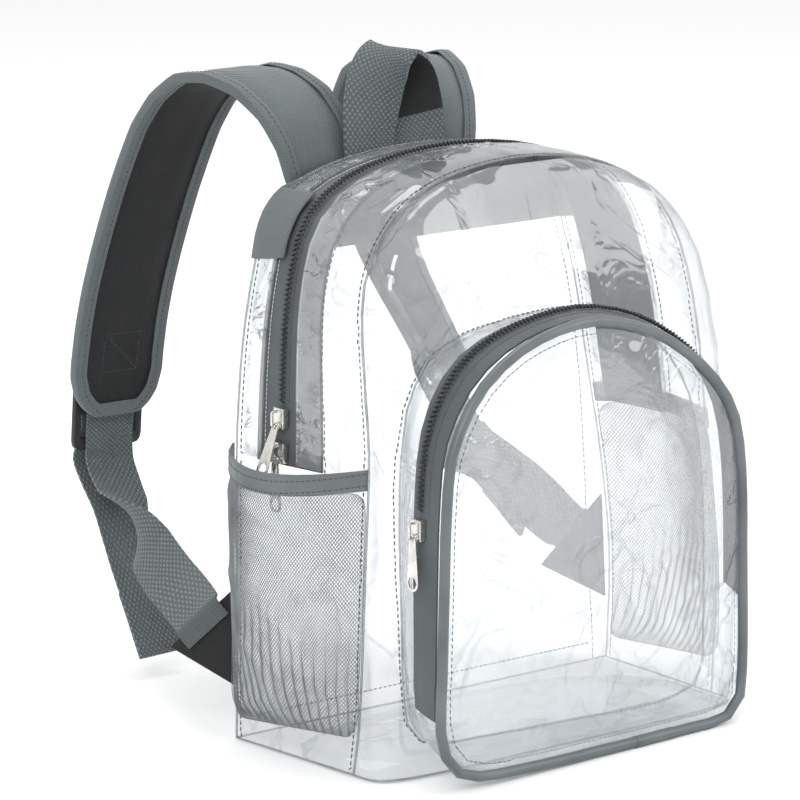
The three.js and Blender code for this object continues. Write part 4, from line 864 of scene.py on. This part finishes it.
def makeNet(side, seed):
    piece = outerSheet(f"{side}_mesh_pocket", f"{side}_net", offBand)
    subdivide(piece, net["levels"])
    for v in piece.data.vertices:
        rise = (v.co.z - 0.015) / 0.13
        across = (0.05 - v.co.y) / 0.093
        pleat = math.sin(across * math.tau * net["pleats"] + 2 * noise.noise(v.co * 20))
        out = net["pleat"] * pleat * ease(1 - rise * 1.6) * ease(rise * 12)
        v.co.x += math.copysign(out, v.co.x)
    crumple(piece, {"dentScale": 20, "dent": 0.002, "creaseScale": 26, "crease": 0.001, "fade": 0.01}, seed)
    count = len(piece.data.vertices)
    pick(piece)
    bpy.ops.object.mode_set(mode="EDIT")
    bpy.ops.mesh.select_all(action="SELECT")
    bpy.ops.mesh.poke()
    bpy.ops.mesh.select_mode(type="EDGE")
    bpy.ops.mesh.select_all(action="DESELECT")
    bpy.ops.object.mode_set(mode="OBJECT")
    for edge in piece.data.edges:
        edge.select = max(edge.vertices) < count
    bpy.ops.object.mode_set(mode="EDIT")
    bpy.ops.mesh.dissolve_edges(use_verts=False)
    bpy.ops.object.mode_set(mode="OBJECT")
    applyModifier(piece, "WIREFRAME", thickness=net["thread"], use_replace=True, use_boundary=True,
                  use_even_offset=False)
    print("net", side, len(piece.data.polygons))
    return dress(piece, "net", [f"{side}_mesh_pocket"], angle=80)


def makeRim(side):
    piece = copyOf(f"{side}_mesh_rim", f"{side}_rim_band")
    joinTriangles(piece)
    subdivide(piece, 2, "SIMPLE")
    applyModifier(piece, "BEVEL", width=0.0005, segments=2, limit_method="ANGLE", angle_limit=math.radians(50))
    dress(piece, "piping", [f"{side}_mesh_rim"])
    low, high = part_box(f"{side}_mesh_rim")
    places = []
    for rise in rim["rises"]:
        line = []
        for k in range(rim["steps"] + 1):
            share = k / rim["steps"]
            y = high.y - (high.y - low.y) * share
            sag = rim["sag"] * math.sin(math.pi * share)
            out = rim["bulge"] * math.sin(math.pi * share ** 0.75)
            x = (-0.125 + 0.00013 * k * 4 - out) if side == "left" else (0.127 + out)
            line.append(Vector((x, y, rim["top"] + rise - sag)))
        places += sew(line, piece, 0.003, 0.0001)
    dress(strew(f"{side}_rim_stitches", roundShape(0.0022, 0.0005, 0.0004), places), "thread")


for seed, side in enumerate(("left", "right")):
    makeNet(side, 41 + seed)
    makeRim(side)
print("mesh pockets made")

# The yoke and the handle

handleRows = [
    (-24.8, 64.4, 295, 1, 0, 0), (-25.1, 64.3, 304.4, 0.997, -0.07, 0.024),
    (-24.8, 64.4, 313.8, 0.986, -0.142, -0.092), (-23.3, 64.9, 324, 0.932, -0.323, -0.163),
    (-20.9, 65.4, 333.8, 0.839, -0.49, -0.238), (-18.2, 65.5, 342.1, 0.68, -0.688, -0.255),
    (-14.6, 65.4, 349.2, 0.375, -0.865, -0.333), (-10.9, 64.7, 353.4, 0.105, -0.937, -0.333),
    (-7, 64.4, 355.4, 0.172, -0.985, 0.001), (-3, 66.3, 353, 0.489, -0.87, -0.07),
    (0.7, 68.4, 348, 0.495, -0.859, 0.132), (4.5, 68.9, 339.8, 0.699, -0.662, 0.27),
    (7.5, 68.4, 330.3, 0.865, -0.424, 0.269), (9.6, 67.5, 321.2, 0.942, -0.265, 0.207),
    (10.8, 66.4, 312.1, 0.986, -0.128, 0.106), (11, 65.4, 303.5, 0.997, -0.072, -0.015),
    (10.9, 64.4, 295, 1, 0, 0),
]
handle = {"width": 0.031, "wall": 0.0024}


def makeYoke():
    piece = copyOf("yoke", "yoke_cloth")
    joinTriangles(piece)
    subdivide(piece, 2, "SIMPLE")
    applyModifier(piece, "SMOOTH", iterations=3, factor=0.4)
    dress(piece, "trim", ["yoke"])
    line = [Vector((x * mm, 0.062, 0.2585)) for x in range(-104, 105, 8)]
    places = sew(line, piece, 0.0034, 0.0002)
    dress(strew("yoke_stitches", roundShape(0.0026, 0.0006, 0.0005), places), "thread")


def makeHandle():
    piece, length = ribbon("handle_webbing", handleRows, handle["width"], handle["wall"])
    piece.data.materials.append(finishes["webbing"])
    piece.data.materials.append(finishes["lining"])
    middle = Vector((-0.007, 0.066, 0.318))
    # Faces turned to the loop's middle get the black cloth: painted shade inside the handle's loop
    rows = {}
    for face in piece.data.polygons:
        rows.setdefault(face.index // 8, []).append(face)
    for faces in rows.values():
        inwards = sum(face.normal.dot((middle - face.center).normalized()) for face in faces)
        for face in faces:
            face.material_index = 1 if inwards > 0.35 * len(faces) else 0
    applyModifier(piece, "BEVEL", width=0.0005, segments=2, limit_method="ANGLE", angle_limit=math.radians(60))
    dress(piece, None, ["handle"])
    print("handle length", round(length, 4))


makeYoke()
makeHandle()
print("yoke and handle made")

# Shoulder pads: centre, the way across, half width and half thickness, from the yoke to the lower end

leftPadRows = [
    (-52.3, 68.6, 293.4, 0.985, 0.034, 0.168, 23.5, 1.5),
    (-55.8, 72.8, 312.7, 0.977, 0.086, 0.197, 24.6, 2.4),
    (-60.6, 83.4, 329.1, 0.97, 0.171, 0.171, 25.6, 3.7), (-65, 100.1, 339.1, 0.979, 0.193, 0.071, 26.7, 4),
    (-69, 119.4, 342.7, 0.984, 0.179, 0.003, 27.8, 4), (-72.6, 138.6, 338.4, 0.984, 0.154, -0.086, 28.5, 4),
    (-75.8, 153.6, 325.5, 0.99, 0.095, -0.108, 28.5, 4),
    (-78.3, 164.9, 309.1, 0.994, 0.049, -0.094, 28.5, 4),
    (-80.3, 173.3, 290.9, 0.996, 0.036, -0.083, 28.5, 4), (-82, 181.2, 272.5, 0.997, 0.03, -0.076, 28.5, 4),
    (-83.6, 188.2, 253.6, 0.997, 0.025, -0.069, 28.5, 4),
    (-85, 194.7, 234.6, 0.998, 0.022, -0.066, 28.5, 4), (-86.3, 200.6, 215.4, 0.999, 0.014, -0.05, 28.5, 4),
    (-87, 205.6, 195.9, 1, 0.005, -0.022, 28.5, 4), (-87.4, 209.4, 176.1, 1, 0.002, -0.016, 28.5, 2.5),
    (-87.5, 210.4, 166.8, 1, 0.001, -0.01, 28.5, 1.5), (-87.6, 211.1, 155.8, 1, 0, -0.008, 25.3, 1.5),
    (-87.6, 211.4, 149.6, 1, 0.001, -0.009, 20.5, 1.5), (-87.7, 211.7, 144.9, 1, 0.001, -0.01, 14.4, 1.5),
]
rightPadRows = [
    (24.3, 68.6, 293.4, 0.985, -0.034, -0.168, 23.5, 1.5),
    (27.6, 72.3, 311.7, 0.978, -0.081, -0.193, 24.6, 2.4),
    (32, 81.8, 327.4, 0.969, -0.162, -0.185, 25.6, 3.7),
    (36.5, 96.6, 338.1, 0.974, -0.204, -0.096, 26.7, 4),
    (40.2, 114.6, 342.1, 0.988, -0.154, 0.004, 27.8, 4),
    (42.7, 132.1, 336.2, 0.995, -0.074, 0.068, 28.5, 4), (44.2, 144, 321.6, 0.996, -0.009, 0.089, 28.5, 4),
    (46.1, 151.5, 304.4, 0.99, 0.061, 0.127, 28.5, 4), (48, 154.7, 285.8, 0.983, 0.151, 0.101, 28.5, 4),
    (49.5, 154.4, 267, 0.967, 0.252, 0.041, 28.5, 4), (50.8, 150.4, 248.5, 0.949, 0.312, -0.042, 28.5, 4),
    (52, 142.9, 231.2, 0.932, 0.348, -0.101, 28.5, 4), (53.8, 133.6, 214.7, 0.919, 0.378, -0.114, 28.5, 4),
    (56.3, 123, 199.2, 0.909, 0.398, -0.126, 28.5, 4),
    (58.9, 112.7, 183.5, 0.893, 0.435, -0.112, 28.5, 2.5),
    (60.3, 108.2, 176.1, 0.892, 0.44, -0.105, 28.5, 1.5),
    (61.8, 102.9, 167.3, 0.891, 0.441, -0.104, 25.3, 1.5),
    (62.8, 99.9, 162.3, 0.892, 0.44, -0.106, 20.5, 1.5),
    (63.4, 97.6, 158.6, 0.892, 0.438, -0.108, 14.4, 1.5),
]
pads = {
    "left": {"rows": leftPadRows, "heart": (0.11, 0.2), "seed": 51},
    "right": {"rows": rightPadRows, "heart": (0.105, 0.24), "seed": 52},
}
padSewing = {"pitch": 0.003, "fromEdge": 0.0035, "box": (0.0115, 0.022), "boxAt": 13.8, "inside": 0.006}


def padAt(rows, at):
    k = min(int(at), len(rows) - 2)
    row = [a + (b - a) * (at - k) for a, b in zip(rows[k], rows[k + 1])]
    way = (Vector(rows[k + 1][:3]) - Vector(rows[k][:3])).normalized()
    across = Vector(row[3:6]).normalized()
    return Vector(row[:3]) * mm, across, way, across.cross(way), row[6] * mm, row[7] * mm


def makePad(side):
    pad = pads[side]
    rows = pad["rows"]
    piece = copyOf(f"{side}_strap_pad", f"{side}_pad")
    joinTriangles(piece)
    subdivide(piece, 3)
    piece.data.materials.append(finishes["trim"])
    piece.data.materials.append(finishes["lining"])
    # Faces turned in towards the bag get the black cloth: painted shade under the pad
    heart = Vector((0, *pad["heart"]))
    for face in piece.data.polygons:
        outwards = Vector((0, face.center.y, face.center.z)) - heart
        face.material_index = 0 if face.normal.dot(outwards) > 0 else 1
    for v in piece.data.vertices:
        v.co += v.normal * 0.0007 * noise.noise(v.co * 45 + Vector((pad["seed"], 0, 0)))
    dress(piece, None, [f"{side}_strap_pad"], angle=80)
    binding = copyOf(f"{side}_strap_binding", f"{side}_binding")
    joinTriangles(binding)
    subdivide(binding, 2, "SIMPLE")
    applyModifier(binding, "SMOOTH", iterations=4, factor=0.5)
    dress(binding, "trim", [f"{side}_strap_binding"])
    places = []
    for edge in (-1, 1):
        for face in (-1, 1):
            line = []
            for k in range(3 * (len(rows) - 1) + 1):
                centre, across, _, normal, half, thick = padAt(rows, k / 3)
                line.append(centre + across * edge * (half - padSewing["fromEdge"]) + normal * face * 0.004)
            places += sew(line, binding, padSewing["pitch"], 0.0001)
    dress(strew(f"{side}_binding_stitches", roundShape(0.0022, 0.0006, 0.0004), places), "thread")
    centre, across, way, normal, _, _ = padAt(rows, padSewing["boxAt"])
    wide, tall = padSewing["box"]
    corners = [(-1, -1), (1, -1), (1, 1), (-1, 1), (-1, -1), (1, 1)]
    line = [centre + across * a * wide + way * b * tall / 2 - normal * padSewing["inside"] for a, b in corners]
    box = sew(line, piece, 0.0024, 0.0001)
    dress(strew(f"{side}_box_stitches", roundShape(0.0018, 0.0006, 0.0004), box), "thread")


for side in pads:
    makePad(side)
print("pads made")

# Ladder locks, and the loops that hold them

leftLoopRows = [
    (-87.2, 214, 190, 1, 0.003, -0.015), (-87.3, 215, 182.6, 1, 0.003, -0.016),
    (-87.4, 216.4, 175.7, 1, 0.001, -0.012), (-87.4, 218.7, 170.3, 1, -0.001, -0.008),
    (-87.5, 220.6, 165.6, 1, 0.001, -0.009), (-87.5, 221, 162.9, 1, 0.001, -0.01),
    (-87.5, 221, 160.6, 1, 0.001, -0.01), (-87.5, 221, 159.2, 1, 0.001, -0.01),
    (-87.5, 220.6, 158.2, 1, 0.001, -0.01), (-87.6, 219.6, 157.6, 1, 0.001, -0.01),
    (-87.6, 218.4, 157.4, 1, 0.001, -0.01), (-87.6, 217.1, 157.4, 1, 0.001, -0.01),
    (-87.5, 216.1, 157.8, 1, 0.001, -0.01), (-87.5, 215.6, 158.8, 1, 0.001, -0.01),
    (-87.5, 215.3, 160.2, 1, 0.001, -0.01), (-87.5, 215.1, 162.5, 1, 0.001, -0.01),
    (-87.5, 214.9, 165.2, 1, 0.001, -0.009), (-87.4, 214.9, 170, 1, 0.001, -0.008),
    (-87.4, 214.6, 175.4, 1, 0.002, -0.012), (-87.3, 213.5, 182.4, 1, 0.003, -0.016),
    (-87.2, 212.2, 189.6, 1, 0.003, -0.015),
]
rightLoopRows = [
    (54.1, 125.5, 191.8, 0.905, 0.409, -0.12), (55.1, 121.5, 186, 0.901, 0.414, -0.128),
    (55.9, 118.1, 180.3, 0.894, 0.433, -0.117), (56, 116.7, 174.8, 0.894, 0.439, -0.095),
    (56, 115.6, 170, 0.892, 0.439, -0.105), (56.3, 114.4, 167.6, 0.893, 0.437, -0.109),
    (56.7, 113, 165.8, 0.892, 0.438, -0.108), (57, 112.2, 164.7, 0.892, 0.438, -0.108),
    (57.3, 111.4, 164, 0.892, 0.438, -0.108), (57.8, 110.4, 164.2, 0.892, 0.438, -0.108),
    (58.4, 109.4, 164.7, 0.892, 0.438, -0.108), (58.9, 108.5, 165.5, 0.892, 0.438, -0.108),
    (59.3, 108, 166.4, 0.892, 0.438, -0.108), (59.3, 108.2, 167.5, 0.892, 0.438, -0.108),
    (59.1, 108.8, 168.8, 0.892, 0.438, -0.108), (58.8, 110, 170.7, 0.893, 0.437, -0.11),
    (58.4, 111.4, 173, 0.892, 0.44, -0.105), (57.6, 113.9, 176.9, 0.89, 0.445, -0.097),
    (56.7, 116.7, 181.3, 0.894, 0.433, -0.115), (55.8, 120.4, 186.9, 0.901, 0.415, -0.127),
    (54.8, 124.2, 192.8, 0.904, 0.41, -0.118),
]
webbing = {"width": 0.031, "wall": 0.0014}


def makeLock(side, rows):
    piece = copyOf(f"{side}_ladder_lock", f"{side}_lock")
    joinTriangles(piece, 5)
    applyModifier(piece, "BEVEL", width=0.0009, segments=3, limit_method="ANGLE", angle_limit=math.radians(40))
    dress(piece, "plastic", [f"{side}_ladder_lock"])
    loop, length = ribbon(f"{side}_loop_webbing", rows, webbing["width"], webbing["wall"])
    dress(loop, "webbing", [f"{side}_lock_loop"])
    print("loop", side, round(length, 4))


makeLock("left", leftLoopRows)
makeLock("right", rightLoopRows)

# Wings and the long straps

leftWebbingRows = [
    (-135.5, 62.8, 57, -0.361, 0.626, -0.692), (-137, 65.1, 59.8, -0.361, 0.626, -0.692),
    (-138.1, 67.3, 62.4, -0.361, 0.626, -0.692), (-138.5, 68.5, 63.7, -0.361, 0.626, -0.692),
    (-138.4, 69.6, 64.6, -0.361, 0.626, -0.691), (-137.6, 70.5, 65.2, -0.304, 0.676, -0.671),
    (-136.5, 71.8, 65.6, -0.458, 0.475, -0.751), (-129.8, 90.6, 68.8, -0.556, 0.293, -0.778),
    (-121.9, 115.4, 73, -0.573, 0.347, -0.743), (-116.4, 132, 76.8, -0.522, 0.368, -0.77),
    (-111.2, 147.4, 81, -0.455, 0.394, -0.799), (-106.8, 160.9, 85.4, -0.098, 0.359, -0.928),
    (-102.5, 173.6, 90.3, 0.444, 0.223, -0.868), (-98.8, 184.7, 95.4, 0.828, 0.003, -0.56),
    (-95.2, 195.4, 101.3, 0.951, -0.154, -0.267), (-91.1, 207.9, 108.6, 0.96, -0.186, -0.21),
    (-88, 217.2, 117.2, 0.988, -0.064, -0.138), (-87.6, 218.2, 125.1, 1, -0.002, 0.025),
    (-87.8, 217.4, 133.3, 1, 0.001, -0.01), (-87.7, 216.8, 140.8, 1, 0.001, -0.01),
    (-87.7, 216.3, 146.7, 1, 0.001, -0.01), (-87.6, 216.4, 148.2, 1, 0.001, -0.01),
    (-87.6, 216.7, 149.2, 1, 0.001, -0.01), (-87.6, 217.7, 149.7, 1, 0.001, -0.01),
    (-87.6, 219, 149.9, 1, 0.001, -0.01), (-87.6, 220.2, 149.9, 1, 0.001, -0.01),
    (-87.6, 221.3, 149.5, 1, 0.001, -0.01), (-87.6, 221.8, 148.6, 1, 0.001, -0.01),
    (-87.7, 222, 147.2, 1, 0.001, -0.01), (-87.7, 222.3, 141.2, 1, 0.001, -0.01),
    (-87.8, 223.1, 133.7, 1, 0.001, -0.01), (-87.9, 227.3, 125.2, 1, 0.003, -0.014),
    (-88, 230, 116.2, 1, 0.003, 0.011), (-87.7, 223, 104.3, 1, 0.02, 0.017),
    (-87.1, 213, 91.5, 0.999, 0.026, 0.048), (-85.9, 206.6, 76.4, 0.996, 0.029, 0.081),
    (-84.5, 200.9, 61, 0.997, 0.029, 0.066), (-83.4, 194.4, 46.9, 0.998, 0.029, 0.06),
    (-82.5, 187.9, 33.6, 0.999, 0.02, 0.041), (-82.2, 182.3, 22.7, 1, 0.01, 0.019),
    (-81.9, 176.7, 12.2, 1, 0.012, 0.024),
]
rightWebbingRows = [
    (131.1, 67.8, 64.8, 0.169, -0.63, 0.758), (130.5, 70.7, 67.4, 0.169, -0.63, 0.758),
    (129.7, 73.3, 69.7, 0.169, -0.63, 0.758), (129, 74.5, 70.8, 0.169, -0.63, 0.758),
    (128.2, 75.3, 71.7, 0.169, -0.63, 0.758), (126.9, 75.6, 72.1, 0.109, -0.63, 0.769),
    (125.2, 75.6, 72.6, 0.312, -0.657, 0.687), (117.2, 76.9, 79.6, 0.499, -0.61, 0.616),
    (107.5, 78.6, 89.2, 0.553, -0.482, 0.679), (98.5, 80.2, 97.4, 0.642, -0.209, 0.738),
    (89.8, 81.7, 105.7, 0.714, 0.105, 0.692), (82, 83, 113.8, 0.717, 0.337, 0.611),
    (75.1, 84.2, 121.7, 0.685, 0.529, 0.502), (70.1, 84.5, 127.5, 0.661, 0.547, 0.514),
    (66.2, 85.7, 133.2, 0.803, 0.575, 0.155), (64.3, 89.9, 139.6, 0.904, 0.396, -0.161),
    (63.2, 94.9, 146, 0.893, 0.438, -0.109), (62.1, 98.8, 152.3, 0.892, 0.438, -0.108),
    (61.2, 101.9, 157.4, 0.892, 0.438, -0.108), (60.9, 102.7, 158.5, 0.892, 0.438, -0.108),
    (60.6, 103.5, 159.1, 0.892, 0.438, -0.108), (60.1, 104.6, 159, 0.892, 0.438, -0.108),
    (59.5, 105.5, 158.4, 0.892, 0.438, -0.108), (59, 106.4, 157.6, 0.892, 0.438, -0.108),
    (58.6, 106.9, 156.7, 0.892, 0.438, -0.108), (58.6, 106.7, 155.7, 0.892, 0.438, -0.108),
    (58.8, 106.1, 154.4, 0.892, 0.438, -0.108), (59.7, 102.9, 149.4, 0.892, 0.438, -0.108),
    (60.8, 99.1, 143, 0.893, 0.438, -0.109), (60.3, 95.2, 133.5, 0.89, 0.406, -0.209),
    (61.1, 94, 124.9, 0.764, 0.347, 0.543), (67.2, 100.9, 121.8, 0.767, -0.626, 0.139),
    (75.4, 107.9, 119, 0.406, 0.527, 0.747), (85.7, 104.7, 108.5, 0.725, 0.633, 0.271),
    (96.2, 98.6, 96.1, 0.67, 0.603, 0.433), (105.4, 96.4, 86.1, 0.666, 0.526, 0.528),
    (114.4, 94.9, 76.3, 0.687, 0.486, 0.54),
]
straps = {
    "left": {"rows": leftWebbingRows, "hem": (37, 40)},
    "right": {"rows": rightWebbingRows, "hem": (33.5, 36)},
}


def makeStrap(side):
    strap = straps[side]
    rows = strap["rows"]
    piece, length = ribbon(f"{side}_strap_webbing", rows, webbing["width"], webbing["wall"], 5)
    dress(piece, "webbing", [f"{side}_webbing"])
    low, high = strap["hem"]
    hemRows = []
    for k in range(7):
        at = low + (high - low) * k / 6
        centre, wide = ribbonAt(rows, at / (len(rows) - 1))
        further, _ = ribbonAt(rows, (at + 0.05) / (len(rows) - 1))
        normal = wide.cross((further - centre).normalized())
        hemRows.append((*((centre + normal * 0.0013) / mm), *wide))
    hem, _ = ribbon(f"{side}_strap_hem", hemRows, webbing["width"] * 0.99, 0.0012)
    dress(hem, "webbing", [])
    line = []
    for a in (-0.4, 0.4):
        centre, wide = ribbonAt(hemRows, 0.15)
        line.append(centre + wide * a * webbing["width"] + Vector((0, -0.002, 0)))
    places = sew(line, hem, 0.0026, 0.0001)
    dress(strew(f"{side}_hem_stitches", roundShape(0.002, 0.0006, 0.0005), places), "thread")
    print("strap", side, round(length, 4))


def makeWing(side):
    piece = copyOf(f"{side}_wing", f"{side}_wing_cloth")
    joinTriangles(piece, 5)
    applyModifier(piece, "BEVEL", width=0.0006, segments=2, limit_method="ANGLE", angle_limit=math.radians(40))
    subdivide(piece, 3, "SIMPLE")
    dress(piece, "lining", [f"{side}_wing"])


for side in straps:
    makeWing(side)
    makeStrap(side)
print("straps made")

# Sliders and pulls

metalBevel = {"main_zip_slider_upper": 0.0005, "main_zip_slider_lower": 0.0005, "pocket_zip_slider": 0.0005,
              "main_zip_pull_upper": 0.0002, "main_zip_pull_lower": 0.0002, "pocket_zip_pull": 0.0002}
pullBodies = {"main_zip_pull_upper": "main_pull_upper", "main_zip_pull_lower": "main_pull_lower",
              "pocket_zip_pull": "pocket_pull"}


def makeMetal():
    for node, width in metalBevel.items():
        piece = copyOf(node, f"{node}_metal")
        joinTriangles(piece, 5)
        applyModifier(piece, "BEVEL", width=width, segments=2, limit_method="ANGLE", angle_limit=math.radians(40))
        dress(piece, "nickel", [node], pullBodies.get(node, "bag"), 35)


makeMetal()
print("metal made")

addCamera()
addStudio()


print("studio set")
